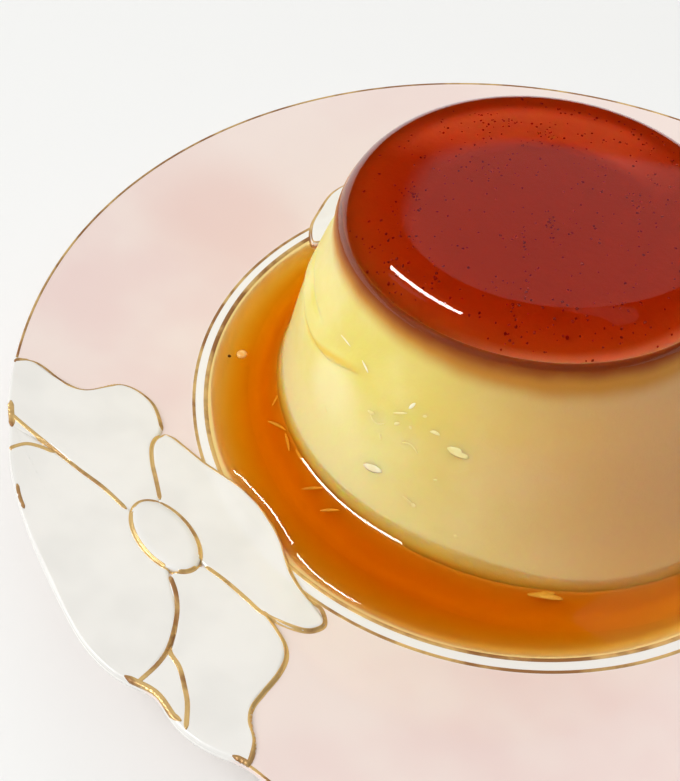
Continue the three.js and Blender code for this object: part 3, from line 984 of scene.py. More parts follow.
def in_painted_glow(finish, out):
    """A mask of the painted light in a pale ring under the caramel, where light comes through its shoulder.

    It is a band behind on the left, and runs on out to the skin in front on the right.
    """
    across, along, height = finish.axes
    behind = out.window(*PAINTED_GLOW_BEHIND) * along.rise(8 * MM, 20 * MM) * across.rise(20 * MM, 6 * MM)
    front = out.rise(*PAINTED_GLOW_FRONT) * along.rise(0, -10 * MM) * across.rise(-12 * MM, 4 * MM)
    return (behind + front) * height.rise(JELLY_LOW.z - 0.3 * MM, JELLY_LOW.z)


def custard_finish():
    """Soft set custard: light gets into it, and the caramel has stained its top edge."""
    custard = bpy.context.scene.pudding_custard
    finish = Finish("custard")
    _, along, height = finish.axes
    out = finish.distance(*custard.axis)
    # Painted shade: this mask marks the side away from the light, which is painted tan.
    shaded_side = (finish.towards(custard.slump_angle) / out).rise(-0.1, 1.05)
    # Painted shade: the crease is darkened to a deeper yellow along its fold.
    body = finish.blend(in_crease_shade(finish) * 0.8, cloudy_custard(finish, shaded_side), custard.crease)
    edge = height + finish.noise(6 * MM) * (1.2 * MM)
    stain = (edge + shaded_side * (1.4 * MM)).rise(JELLY_LOW.z - 2.4 * MM, JELLY_LOW.z + 0.8 * MM)
    body = finish.blend(stain, body, custard.amber)
    skin = out.rise(custard.neck - 1.5 * MM, custard.neck - 0.8 * MM)
    # Painted light: a pale ring under the caramel, where light comes through its shoulder.
    body = finish.blend(in_painted_glow(finish, out) * (1 - skin), body, custard.glow)
    sunk = height.rise(POOL_TOP.z + 1.6 * MM, POOL_TOP.z - 0.2 * MM)
    body = finish.blend(sunk, body, custard.steeped)
    soaked = edge.rise(JELLY_LOW.z - 0.2 * MM, JELLY_LOW.z + 2.2 * MM) * skin
    soaked = soaked * along.rise(10 * MM, -4 * MM)
    grain = finish.noise(1.1 * MM, detail=4, roughness=0.6)
    return finish.done(
        Base_Color=finish.blend(soaked, body, custard.burnt),
        Roughness=0.36 + grain * 0.2,
        Subsurface_Weight=1.0,
        Subsurface_Radius=(1.0, 0.55, 0.16),
        Subsurface_Scale=4 * MM,
        Specular_IOR_Level=0.15,
        Coat_Weight=0.3 - stain * 0.3,
        Coat_Roughness=0.2,
        Normal=finish.relief(grain, 0.08 * MM),
    )


def shoulder_top():
    """Height above the sauce at which the shoulder has turned level."""
    return JELLY_TOP.z - POOL_TOP.z - bpy.context.scene.pudding_caramel.dome


def wall_radius(z):
    """Radius of the pudding at a height above the sauce.

    Up to the shoulder a cone with a belly sin(pi t) and a waist under the caramel, then an arc.
    """
    custard = bpy.context.scene.pudding_custard
    turn = bpy.context.scene.pudding_caramel.shoulder
    tall = shoulder_top()
    start = tall - turn * SHOULDER_TURN
    t = np.clip(z / start, 0, 1)
    waist = WAIST_DEPTH * bump(z, WAIST_HEIGHT, WAIST_WIDTH) * (1 - t**8)
    cone = custard.foot + (custard.neck - custard.foot) * t + custard.belly * np.sin(np.pi * t) - waist
    up = np.clip(z - (tall - turn), 0, turn)
    start_up = start - (tall - turn)
    arc = custard.neck - np.sqrt(turn**2 - start_up**2) + np.sqrt(turn**2 - up**2)
    return np.where(z <= start, cone, arc)


def slump_reach(theta, z):
    """How far the foot has sagged: reach exp(-z / h) ((1 + cos(theta - side)) / 2)^4."""
    custard = bpy.context.scene.pudding_custard
    facing = ((1 + np.cos(theta - custard.slump_angle)) / 2) ** SLUMP_FOCUS
    return custard.slump * np.exp(-np.maximum(z, 0) / SLUMP_HEIGHT) * facing


def custard_unevenness(theta, z):
    """Ripples, the crease with its lip, a wrinkle over it and small dents, in metres outwards."""
    angle = np.degrees(theta)
    # The crease runs past 180 degrees, so angles run on backwards from 100 degrees to -260.
    angle = np.where(angle > 100, angle - 360, angle)
    line = np.interp(angle, CREASE[:, 0], CREASE[:, 1]) * MM
    above = z - line

    def ridge(depth, height, width):
        """A ridge along the crease."""
        return depth * MM * bump(above, height * MM, width * MM)

    fold = ridge(*LIP) * (above > 0) - ridge(*GROOVE)
    fold = fold - ridge(*WRINKLE) * (1 - smoothstep(*WRINKLE_END, angle))
    rough = 0.16 * MM * ripple(theta, z, 3) + window(angle, *CREASE_SPAN) * fold
    for at, height, radius, depth in DENTS:
        away = np.hypot(np.radians(angle - at) * wall_radius(z), z - height * MM) / MM
        rim = 0.3 * bump(away, 1.4 * radius, 0.4 * radius)
        rough = rough + depth * MM * (rim - bump(away, 0, radius))
    return rough


def pudding_wall(theta, z, extra=0.0):
    """Points of the pudding's skin at angles and heights above the sauce."""
    custard = bpy.context.scene.pudding_custard
    r = wall_radius(z) + slump_reach(theta, z) + extra
    x = custard.axis[0] + r * np.cos(theta)
    y = custard.axis[1] + r * np.sin(theta)
    return np.stack([x, y, POOL_TOP.z + z], axis=-1)


def disc_loops(edge, height, shares):
    """Loops that shrink a closed edge towards its middle, by shares, at a height for each."""
    middle = edge.mean(axis=0)
    loops = middle + (edge - middle)[None] * np.asarray(shares)[:, None, None]
    loops[..., 2] = np.reshape(height, (-1, 1))
    return loops


def make_foot():
    """The steeped foot of the custard under the sauce, which runs out onto the bed.

    At d beyond the wall it stands (1 - d / spread)^3 of the sauce's depth over the bed.
    """
    axis = bpy.context.scene.pudding_custard.axis
    theta = whole_turn(WALL_STEPS)[:, None]
    share = np.linspace(0, 1, 24)
    start = wall_radius(np.zeros(1)) + slump_reach(theta, 0)
    spread = start + FOOT_SPREAD * share
    tucked = start - 0.6 * MM
    r = np.concatenate([tucked, spread, spread[:, -1:], tucked], axis=1)
    x, y = axis[0] + r * np.cos(theta), axis[1] + r * np.sin(theta)
    glaze = glaze_height(np.hypot(x, y))
    skirt = glaze[:, 1:-2] - 0.05 * MM
    skirt = skirt + (POOL_TOP.z - skirt[:, :1]) * (1 - share) ** 3
    top = np.full_like(start, POOL_TOP.z + 0.4 * MM)
    z = np.concatenate([top, skirt, glaze[:, -2:] - 0.5 * MM], axis=1)
    loops = np.stack([x, y, z], axis=-1)
    add_piece("custard_foot", *loft(loops, ring=True), steeped_finish(), "custard")


def make_custard():
    """The custard: a wall r(theta, z) from inside the well up to its flat top.

    A thin collar stands over the caramel's foot, sinks into the caramel and slopes down inside it.
    """
    plate = bpy.context.scene.pudding_plate
    theta = whole_turn(WALL_STEPS)
    top = JELLY_LOW.z - POOL_TOP.z
    collar = np.linspace(top, top + COLLAR, 14)[1:]
    foot = plate.well_floor - 0.1 * MM - POOL_TOP.z
    heights = np.concatenate([np.linspace(foot, 0, 5)[:-1], np.linspace(0, top, 150), collar])
    grid_theta, z = np.meshgrid(theta, heights)
    rough = custard_unevenness(grid_theta, z) * window(z, 0, 1.5 * MM, top - 3 * MM, top - 1 * MM)
    proud = COLLAR_PROUD * smoothstep(top - 1.5 * MM, top, z)
    tucked = COLLAR_TUCK * smoothstep(top + 0.6 * COLLAR, top + COLLAR, z)
    wall = pudding_wall(grid_theta, z, rough + proud - tucked)
    shares = np.array([0.985, 0.96, 0.93, 0.9])
    slope = COLLAR * (1 - smoothstep(1, 0.9, shares)) + 0.2 * MM
    over = np.concatenate([
        disc_loops(wall[-1], JELLY_LOW.z + slope, shares),
        disc_loops(wall[-1], JELLY_LOW.z + 0.2 * MM, [0.85, 0.5, 0.02]),
    ])
    under = disc_loops(wall[0], wall[0, 0, 2], [0.02, 0.7])
    loops = np.concatenate([under, wall, over])
    piece = add_piece("custard_body", *loft(loops), custard_finish(), "custard")
    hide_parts("custard")


# ------------------------------------------------------------------ caramel

# Round the pool, angles at which its brink is sharp and at which the sauce clings highest to the
# custard: where that begins, is full, begins to fade and ends.
SHARP_SPAN = (-166, -150, -102, -84)
CLINGING_SPAN = (-190, -160, -95, -60)
# Gap between the pool's edge and the inner ring, how far the sauce reaches into the glaze, and its
# least thickness.
BRIM_GAP, SAUCE_SINK, THINNEST = 0.35 * MM, 0.15 * MM, 0.05 * MM


def make_caramel_top():
    """The set caramel: from inside the custard's top out to the wall, up and over the shoulder.

    The top is a shallow dome, top - dome s^2 at the share s of the way to the shoulder.
    """
    caramel = bpy.context.scene.pudding_caramel
    theta = whole_turn(WALL_STEPS)
    low = JELLY_LOW.z - POOL_TOP.z
    tall = shoulder_top()
    start = tall - caramel.shoulder * SHOULDER_TURN
    first = math.asin((start - (tall - caramel.shoulder)) / caramel.shoulder)
    arc = tall - caramel.shoulder + caramel.shoulder * np.sin(np.linspace(first, np.pi / 2 - 0.04, 40))
    heights = np.concatenate([[low + 0.25 * MM], np.linspace(low + 0.5 * MM, start, 4)[:-1], arc])
    grid_theta, z = np.meshgrid(theta, heights)
    wall = pudding_wall(grid_theta, z, 0.03 * MM)
    under = disc_loops(wall[0], JELLY_LOW.z, [0.02, 0.6, 0.97])
    shares = np.array([0.98, 0.94, 0.88, 0.8, 0.7, 0.6, 0.5, 0.4, 0.3, 0.2, 0.1, 0.02])
    over = disc_loops(wall[-1], JELLY_TOP.z - caramel.dome * shares**2, shares)
    loops = np.concatenate([under, wall, over])
    finish = clear_finish("set_caramel", caramel.jelly_absorption)
    piece = add_piece("set_caramel", *loft(loops), finish, "set_caramel")
    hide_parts("caramel_top")


def first_crossing(origin, theta, outline):
    """Distance along each ray from the origin to an outline, or infinity where it misses.

    Ray o + t u meets segment p + s q where t = (p - o) x q / (u x q), s = (p - o) x u / (u x q).
    """
    u = np.stack([np.cos(theta), np.sin(theta)], axis=1)[:, None]
    p = (outline - origin)[None]
    q = (np.roll(outline, -1, axis=0) - outline)[None]

    def cross(a, b):
        """The cross product of level vectors."""
        return a[..., 0] * b[..., 1] - a[..., 1] * b[..., 0]

    down = cross(u, q)
    down = np.where(np.abs(down) < 1e-12, 1e-12, down)
    t, s = cross(p, q) / down, cross(p, u) / down
    return np.where((s >= 0) & (s <= 1) & (t > 0), t, np.inf).min(axis=1)


def pool_reach(theta, axis):
    """How far the pool reaches from the axis, and how far a petal holds it short of the wall."""
    along = axis[0] * np.cos(theta) + axis[1] * np.sin(theta)
    brim = bpy.context.scene.pudding_plate.ring_inner - BRIM_GAP
    wall = np.sqrt(along**2 - axis @ axis + brim**2) - along
    petals = [petal_outline(name, 12) for name in ("large_inner", "small_inner")]
    petal = np.minimum(*(first_crossing(axis, theta, outline) for outline in petals))
    return rolling_mean(np.minimum(wall, petal), 3), wall - petal


def sauce_top(theta, r, contact, outer, held):
    """Height of the sauce's top: level + climb - drop, on a grid of angles and radii.

    The climb is meniscus exp(-d / reach) at a distance d from the custard, and highest in front on
    the left. The drop is brink exp(-d / reach) at a distance d from the outer edge: sharp in front
    on the left, further down beside the petal there, and soft elsewhere.
    """
    caramel = bpy.context.scene.pudding_caramel
    angle = np.degrees(theta) - 360
    sharp = window(angle, *SHARP_SPAN)
    beside_petal = smoothstep(0, 0.6 * MM, held) * sharp
    clinging = 0.5 + 0.5 * window(angle, *CLINGING_SPAN)
    to_custard = np.maximum(r - contact, -0.8 * MM)
    to_edge = np.maximum(rolling_mean(outer, 10)[:, None] - r, 0) / caramel.brink_reach
    climb = caramel.meniscus * clinging[:, None] * np.exp(-to_custard / caramel.meniscus_reach)
    drop = caramel.brink * sharp[:, None] * np.exp(-to_edge)
    drop = drop + 0.5 * caramel.brink * (1 - sharp[:, None]) * np.exp(-to_edge / 2.6)
    drop = drop + caramel.petal_brink * beside_petal[:, None] * np.exp(-to_edge / 1.5)
    return POOL_TOP.z + caramel.pool_rise + climb - drop


def make_sauce():
    """The sauce: its top from the custard to the well's wall or a petal, and its bed under it."""
    caramel = bpy.context.scene.pudding_caramel
    axis = np.array(bpy.context.scene.pudding_custard.axis)
    theta = whole_turn(540)
    outer, held = pool_reach(theta, axis)
    climbed = np.full(1, caramel.meniscus)
    contact = (wall_radius(climbed) + slump_reach(theta, climbed))[:, None]
    share = (1 - np.cos(np.linspace(0, 1, 64) * np.pi)) / 2
    start, stop = contact - 1.4 * MM, outer[:, None] + 0.35 * MM
    r = start + (stop - start) * share
    top = sauce_top(theta, r, contact, outer, held)
    xy = axis + r[..., None] * np.stack([np.cos(theta), np.sin(theta)], axis=1)[:, None]
    bed = np.minimum(glaze_height(from_centre(xy)) - SAUCE_SINK, top - THINNEST)
    loops = np.concatenate([with_height(xy, top), with_height(xy, bed)[:, ::-1]], axis=1)
    finish = clear_finish("caramel_sauce", caramel.sauce_absorption)
    piece = add_piece("caramel_sauce_pool", *loft(loops, ring=True), finish, "caramel_sauce")
    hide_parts("caramel_sauce")


# ------------------------------------------------------------------ small bits

# Slivers of custard on the wall: angle and height above the sauce of each end, then width and
# bend, in mm.
WALL_SLIVERS = np.array([
    [-122.4, 16.9, -120.4, 17.1, 0.55, 0], [-121.6, 16.7, -117.0, 16.8, 0.26, -0.7],
    [-115.7, 19.0, -112.2, 20.1, 0.34, 0], [-110.8, 18.6, -110.0, 18.3, 0.4, 0],
    [-114.6, 17.6, -113.3, 18.2, 0.5, 0], [-108.2, 20.7, -107.2, 21.0, 0.45, 0],
    [-105.5, 19.2, -103.0, 19.3, 0.62, 0.1], [-111.6, 15.6, -107.0, 15.3, 0.3, 0.5],
    [-100.6, 17.9, -95.3, 17.4, 1.5, 0.1],
    [-135.8, 11.5, -134.0, 10.9, 0.25, 0], [-108.0, 7.7, -104.6, 7.0, 0.3, 0],
    [-105.6, 7.2, -104.5, 6.9, 0.7, 0], [-94.8, 5.0, -93.8, 4.9, 0.55, 0],
    [-117.6, 15.0, -116.8, 14.2, 0.3, 0], [-102.0, 12.4, -101.0, 12.6, 0.35, 0],
])
# The palest slivers on the wall.
PALE_SLIVERS = np.array([
    [-139.3, 22.4, -134.5, 22.5, 0.3, 0.05], [-129.1, 22.4, -126.0, 21.6, 0.4, 0],
    [-119.4, 8.6, -114.4, 9.6, 1.25, 0], [-112.1, 20.8, -111.0, 21.9, 0.5, 0],
])
# Slivers of custard lying in the sauce beside the foot: both ends, then width and bend, in mm.
POOL_SLIVERS = np.array([
    [-34.5, -16.5, -31.1, -17.5, 0.6, 0.2], [-31.1, -18.1, -29.7, -21.2, 0.55, 0.2],
    [-28.6, -20.6, -26.1, -23.1, 1.1, 0], [-26.2, -27.5, -22.9, -26.4, 0.5, 0.1],
    [-22.6, -30.5, -19.9, -29.7, 0.5, 0.1], [8.0, -36.5, 12.8, -36.0, 1.1, 0.2],
    [9.8, -35.6, 11.6, -35.2, 1.2, 0], [-34.6, -13.4, -33.9, -10.4, 0.4, 0],
])
# Middle of the bubble in the sauce and of the burnt speck beside it, in mm.
BUBBLE = (-42.4, -4.5)
BURNT_SPECK = (-44.2, -5.4)
# Skin of the bubble from its foot up: radius and height above the sauce, in mm.
BUBBLE_SKIN = np.array([
    [0.4, -0.3], [0.8, -0.15], [0.85, 0], [0.75, 0.2], [0.5, 0.33], [0.2, 0.38], [0.02, 0.39],
])
# Least and greatest radius of a vanilla speck in mm, the share of specks that lie in nests, and how
# far those stray: in radians round the axis, and in shares of the way out.
SPECK_SIZE = (0.08, 0.22)
NESTED = 0.35
NEST_SPREAD = (0.09, 0.05)
# The nests: angle, and share of the way out to the wall.
SPECK_NESTS = np.array([
    [-92, 0.9], [-84, 0.93], [-62, 0.88], [-54, 0.92], [-137, 0.93], [-146, 0.9], [-128, 0.95],
    [150, 0.4], [95, 0.6], [-100, 0.35], [20, 0.5], [-170, 0.7], [60, 0.85], [-75, 0.2], [120, 0.75],
])


def blob_points():
    """Corners and faces of a ball of twenty triangles, one unit in radius."""
    golden = (1 + 5**0.5) / 2
    corners = np.array([
        [-1, golden, 0], [1, golden, 0], [-1, -golden, 0], [1, -golden, 0],
        [0, -1, golden], [0, 1, golden], [0, -1, -golden], [0, 1, -golden],
        [golden, 0, -1], [golden, 0, 1], [-golden, 0, -1], [-golden, 0, 1],
    ])
    faces = np.array([
        [0, 11, 5], [0, 5, 1], [0, 1, 7], [0, 7, 10], [0, 10, 11], [1, 5, 9], [5, 11, 4],
        [11, 10, 2], [10, 7, 6], [7, 1, 8], [3, 9, 4], [3, 4, 2], [3, 2, 6], [3, 6, 8],
        [3, 8, 9], [4, 9, 5], [2, 4, 11], [6, 2, 10], [8, 6, 7], [9, 8, 1],
    ])
    return corners / np.linalg.norm(corners[0]), faces


def blobs(centres, frames, sizes, seed):
    """One knobbly blob for each centre: c + F (s * corner), corners moved in or out by a fifth."""
    corners, faces = blob_points()
    draw = np.random.default_rng(seed)
    knobs = corners[None] * draw.uniform(0.8, 1.2, (len(centres), len(corners), 1))
    shaped = knobs * sizes[:, None, :]
    points = centres[:, None, :] + np.einsum("nij,nkj->nki", frames, shaped)
    triangles = faces[None] + np.arange(len(centres))[:, None, None] * len(corners)
    return points.reshape(-1, 3), np.zeros((0, 4), int), triangles.reshape(-1, 3)


def random_frames(count, draw):
    """Random turns, from unit quaternions."""
    turns = draw.normal(size=(4, count))
    w, x, y, z = turns / np.sqrt((turns**2).sum(axis=0))
    rows = [
        [1 - 2 * (y * y + z * z), 2 * (x * y - z * w), 2 * (x * z + y * w)],
        [2 * (x * y + z * w), 1 - 2 * (x * x + z * z), 2 * (y * z - x * w)],
        [2 * (x * z - y * w), 2 * (y * z + x * w), 1 - 2 * (x * x + y * y)],
    ]
    return np.moveaxis(np.array(rows), 2, 0)


def make_specks():
    """Vanilla specks sunk in the set caramel, about a third of them in loose nests."""
    custard = bpy.context.scene.pudding_custard
    caramel = bpy.context.scene.pudding_caramel
    draw = np.random.default_rng(caramel.seed)
    count = caramel.specks
    theta = draw.uniform(0, 2 * np.pi, count)
    share = np.sqrt(draw.uniform(0, 1, count))
    nested = draw.uniform(size=count) < NESTED
    nests = SPECK_NESTS[draw.integers(0, len(SPECK_NESTS), count)] * [np.pi / 180, 1]
    round_axis, outwards = (draw.normal(0, spread, count) for spread in NEST_SPREAD)
    theta = np.where(nested, nests[:, 0] + round_axis, theta)
    share = np.where(nested, np.clip(nests[:, 1] + outwards, 0, 1), share)
    low, high = JELLY_LOW.z + 0.5 * MM, JELLY_TOP.z - 0.4 * MM
    z = low + (high - low) * draw.uniform(0, 1, count)
    r = share * (wall_radius(z - POOL_TOP.z) - 0.7 * MM)
    x, y = custard.axis[0] + r * np.cos(theta), custard.axis[1] + r * np.sin(theta)
    sizes = draw.uniform(*SPECK_SIZE, (count, 1)) * draw.uniform(0.75, 1.25, (count, 3)) * MM
    frames = random_frames(count, draw)
    finish = plain_finish("vanilla", srgb(170, 60, 26), srgb(128, 38, 14), 1 * MM, 0.5)
    parts = blobs(np.stack([x, y, z], axis=1), frames, sizes, caramel.seed + 1)
    add_piece("vanilla_specks", *parts, finish, "set_caramel")


def sliver_loops(path, out, width, thickness):
    """Thin pointed slivers, an array (sliver, step, point, xyz) of loops.

    At the share u of its path a sliver is an ellipse across it, as wide as width sin(pi u)^0.6.
    """
    along = np.gradient(path, axis=1)
    side = np.cross(along, out)
    side = side / np.linalg.norm(side, axis=2, keepdims=True)
    taper = np.sin(np.linspace(0.03, 0.97, path.shape[1]) * np.pi) ** 0.6
    turn = whole_turn(8)
    reach = (width[:, None] * taper)[..., None] / 2
    across = side[:, :, None] * (reach * np.cos(turn))[..., None]
    up = out[:, :, None] * (thickness / 2 * taper[:, None] * np.sin(turn))[None, :, :, None]
    return path[:, :, None] + across + up


def make_crumbs():
    """Torn bits of custard: slivers that lie on the wall and slivers just under the sauce."""
    u = np.linspace(0, 1, 9)
    bow = np.sin(np.pi * u)
    tones = {
        "custard_crumbs": (WALL_SLIVERS, srgb(248, 236, 166), srgb(242, 226, 146)),
        "custard_flakes": (PALE_SLIVERS, srgb(252, 246, 212), srgb(248, 238, 188)),
    }
    for name, (slivers, light, dark) in tones.items():
        from_angle, from_height, to_angle, to_height, width, bend = slivers.T[..., None]
        theta = np.radians(from_angle + (to_angle - from_angle) * u)
        z = (from_height + (to_height - from_height) * u + bend * bow) * MM
        on_wall = pudding_wall(theta, z, custard_unevenness(theta, z))
        out = np.stack([np.cos(theta), np.sin(theta), np.full_like(theta, 0.25)], axis=2)
        loops = sliver_loops(on_wall, out, width[:, 0] * MM, 0.1 * MM)
        finish = plain_finish(name, light, dark, 1.5 * MM, 0.35)
        add_piece(name, *joined([loft(one) for one in loops]), finish, "custard")

    from_x, from_y, to_x, to_y, width, bend = POOL_SLIVERS.T[..., None]
    x = (from_x + (to_x - from_x) * u) * MM
    y = (from_y + (to_y - from_y) * u + bend * bow) * MM
    under = np.stack([x, y, np.full_like(x, POOL_TOP.z - 0.35 * MM)], axis=2)
    up = np.broadcast_to([0.0, 0.0, 1.0], under.shape)
    loops = sliver_loops(under, up, width[:, 0] * MM, 0.3 * MM)
    soaked = plain_finish("soaked_crumb", srgb(244, 206, 150), srgb(236, 190, 130), 1.5 * MM, 0.4)
    add_piece("sauce_crumbs", *joined([loft(one) for one in loops]), soaked, "custard")


def make_bubble():
    """A bubble that has set in the sauce, a low dome, and a burnt speck beside it."""
    caramel = bpy.context.scene.pudding_caramel
    level = POOL_TOP.z + caramel.pool_rise
    radius, height = BUBBLE_SKIN.T * MM
    loops = turned_loops(radius, level + height, 32)
    loops[..., :2] += np.array(BUBBLE) * MM
    foam = plain_finish("foam", srgb(246, 196, 120), srgb(236, 168, 84), 1 * MM, 0.15)
    add_piece("sauce_bubble", *loft(loops), foam, "caramel_sauce")
    spot = np.array([[*BURNT_SPECK, 0]]) * MM + [[0, 0, level]]
    parts = blobs(spot, np.eye(3)[None], np.array([[0.35, 0.25, 0.2]]) * MM, caramel.seed + 3)
    burnt = plain_finish("burnt_sugar", srgb(96, 40, 14), srgb(60, 24, 10), 1 * MM, 0.3)
    add_piece("burnt_speck", *parts, burnt, "caramel_sauce")


# ------------------------------------------------------------------ stage

# The table, seen in gloss too, and the floor round it, which isn't and ends at the backdrop.
TABLE_RADIUS, FLOOR_RADIUS = 0.5, 1.6
# The place on the pudding's shoulder that the lamps and panes face.
SHOULDER = Vector((-0.012, -0.018, 0.047))
# Azimuth and elevation of the two ends of the strip of window, seen from the shoulder.
WINDOW_ENDS = ((175, 40), (-136, 60))
WINDOW_DISTANCE, PANE_DISTANCE = 0.6, 1.2
# Kinds of ray that don't see a thing: what never shows in gloss, a lamp that shows only there, a
# pane that shows only there, and the backdrop, which only the camera sees.
NO_GLOSS = ("glossy",)
GLOSS_LAMP = ("diffuse", "transmission")
GLOSS_PANE = ("camera", "diffuse", "transmission", "shadow")
CAMERA_ONLY = ("diffuse", "glossy", "transmission", "volume_scatter", "shadow")


def from_pudding(azimuth, elevation, distance):
    """A place seen from the pudding's shoulder in a direction given in degrees."""
    a, e = math.radians(azimuth), math.radians(elevation)
    way = Vector((math.cos(a) * math.cos(e), math.sin(a) * math.cos(e), math.sin(e)))
    return SHOULDER + way * distance


def facing(spot, along):
    """The place of something that faces the shoulder, its first side near to a direction."""
    back = (spot - SHOULDER).normalized()
    first = (Vector(along) - back * Vector(along).dot(back)).normalized()
    second = back.cross(first)
    return Matrix.Translation(spot) @ Matrix((first, second, back)).transposed().to_4x4()


def add_light(name, spot, size, power, along, unseen):
    """A white rectangular lamp at a spot."""
    lamp = bpy.data.lights.new(name, "AREA")
    lamp.shape = "RECTANGLE"
    lamp.size, lamp.size_y = size
    lamp.energy = power
    add_object(lamp, unseen).matrix_world = facing(spot, along)


def add_stage(mesh, material, unseen=()):
    """A stage object."""
    mesh.materials.append(material)
    placed = add_object(mesh, unseen)
    return placed


def add_pane(name, azimuth, elevation, size, along, radiance):
    """A glowing pane that only glossy surfaces see; its glow fades where x^4 + y^4 nears 1."""
    finish = Finish(name)
    x, y, _ = finish.axes
    fade = ((x * (2 / size[0])) ** 4 + (y * (2 / size[1])) ** 4).rise(1.0, 0.6)
    glow = finish.blend(fade, (0, 0, 0), (1, 1, 1))
    pane = finish.done(Base_Color=(0, 0, 0), Emission_Color=glow, Emission_Strength=radiance)
    corners = [(i * size[0] / 2, j * size[1] / 2, 0) for i, j in ((-1, -1), (1, -1), (1, 1), (-1, 1))]
    mesh = bpy.data.meshes.new(name)
    mesh.from_pydata(corners, [], [(0, 1, 2, 3)])
    spot = from_pudding(azimuth, elevation, PANE_DISTANCE)
    add_stage(mesh, pane, GLOSS_PANE).matrix_world = facing(spot, along)


def disc(name, low, high):
    """A flat ring at the table's height from one radius to another, or a disc from radius 0."""
    steps = 96
    t = whole_turn(steps)
    rim = np.stack([np.cos(t), np.sin(t), np.zeros(steps)], axis=1)
    around = np.arange(steps)
    if low:
        after = (around + 1) % steps
        faces = np.stack([around, around + steps, after + steps, after], axis=1).tolist()
        corners = np.vstack([rim * low, rim * high])
    else:
        corners, faces = rim * high, [around.tolist()]
    mesh = bpy.data.meshes.new(name)
    mesh.from_pydata(corners.tolist(), [], faces)
    return mesh


def make_table():
    """The pale table, the floor round it and a glowing dome behind them."""
    stage = bpy.context.scene.pudding_stage
    table = Finish("table").done(Base_Color=stage.floor, Roughness=0.6)
    add_stage(disc("table", 0, TABLE_RADIUS), table)
    add_stage(disc("floor", TABLE_RADIUS, FLOOR_RADIUS), table, NO_GLOSS)

    glow = Finish("backdrop").done(
        Base_Color=(0, 0, 0), Emission_Color=stage.backdrop, Emission_Strength=1.0
    )
    angles = np.linspace(-0.1, np.pi / 2 - 0.01, 24)
    dome = turned_loops(FLOOR_RADIUS * np.cos(angles), FLOOR_RADIUS * np.sin(angles), 64)
    points, quads, triangles = loft(dome)
    mesh = bpy.data.meshes.new("backdrop")
    mesh.from_pydata(points.tolist(), [], quads.tolist() + triangles.tolist())
    add_stage(mesh, glow, CAMERA_ONLY)


def make_lights():
    """Soft light from the left and behind, and what the caramel mirrors: window and pale walls."""
    stage = bpy.context.scene.pudding_stage
    ends = [from_pudding(*end, WINDOW_DISTANCE) for end in WINDOW_ENDS]
    strip = ends[1] - ends[0]
    size = (strip.length, stage.window_width)
    add_light("window", (ends[0] + ends[1]) / 2, size, stage.window, strip, GLOSS_LAMP)
    level = (1, 0, 0)
    left = from_pudding(azimuth=-146, elevation=49, distance=3)
    behind = from_pudding(azimuth=95, elevation=32, distance=2.5)
    add_light("key", left, (2.6, 2.6), stage.key, strip, NO_GLOSS)
    add_light("back", behind, (2.4, 1.6), stage.back, level, NO_GLOSS)
    add_pane("wall_behind", 79, 41.5, (0.8, 0.47), level, stage.sheen)
    add_pane("sill", -166, 40, (0.5, 0.12), strip, 1.4 * stage.sheen)
    add_pane("wall_right", 44, 63, (0.9, 0.19), (0.7, -1, 0), 0.5 * stage.sheen)


def make_camera():
    """The camera, which looks down at the plate from in front."""
    stage = bpy.context.scene.pudding_stage
    lens = bpy.data.cameras.new("camera")
    lens.sensor_fit = "AUTO"
    lens.sensor_width = 36
    lens.lens = stage.lens
    lens.clip_start = 0.01
    lens.clip_end = 20
    camera = add_object(lens)
    camera.matrix_world = Matrix.Translation(stage.eye) @ camera_turn(stage).to_4x4()
    bpy.context.scene.camera = camera


def make_daylight():
    """Even light that is brightest overhead: strength (low + (1 - low) up), seen by no gloss."""
    stage = bpy.context.scene.pudding_stage
    world = bpy.data.worlds.new("daylight")
    bpy.context.scene.world = world
    world.use_nodes = True
    nodes, links = world.node_tree.nodes, world.node_tree.links
    place = nodes.new("ShaderNodeTexCoord")
    split = nodes.new("ShaderNodeSeparateXYZ")
    ramp = nodes.new("ShaderNodeMapRange")
    links.new(place.outputs["Generated"], split.inputs[0])
    links.new(split.outputs["Z"], ramp.inputs["Value"])
    ramp.inputs["To Min"].default_value = stage.horizon * stage.daylight
    ramp.inputs["To Max"].default_value = stage.daylight
    links.new(ramp.outputs["Result"], nodes["Background"].inputs["Strength"])
    nodes["Background"].inputs["Color"].default_value = (1, 1, 1, 1)
    world.cycles_visibility.glossy = False


def camera_turn(stage):
    """The camera's right, up and backward directions, as columns."""
    sin_yaw, cos_yaw = math.sin(stage.yaw), math.cos(stage.yaw)
    ahead = Vector((
        sin_yaw * math.cos(stage.pitch), cos_yaw * math.cos(stage.pitch), -math.sin(stage.pitch)
    ))
    level = Vector((cos_yaw, -sin_yaw, 0))
    steep = level.cross(ahead)
    right = level * math.cos(stage.roll) + steep * math.sin(stage.roll)
    up = steep * math.cos(stage.roll) - level * math.sin(stage.roll)
    return Matrix((right, up, -ahead)).transposed()


# ------------------------------------------------------------------ operators and panel


class PUDDING_OT_plate(bpy.types.Operator):
    """Make the porcelain plate"""

    bl_idname = "pudding.plate"
    bl_label = "Plate"

    def execute(self, context):
        make_plate()
        return {"FINISHED"}


class PUDDING_OT_blossoms(bpy.types.Operator):
    """Make the raised petals and hearts on the rim"""

    bl_idname = "pudding.blossoms"
    bl_label = "Blossoms"

    def execute(self, context):
        make_blossoms()
        return {"FINISHED"}


class PUDDING_OT_gilding(bpy.types.Operator):
    """Make the gilt rings and outlines"""

    bl_idname = "pudding.gilding"
    bl_label = "Gilding"

    def execute(self, context):
        make_gilding()
        return {"FINISHED"}


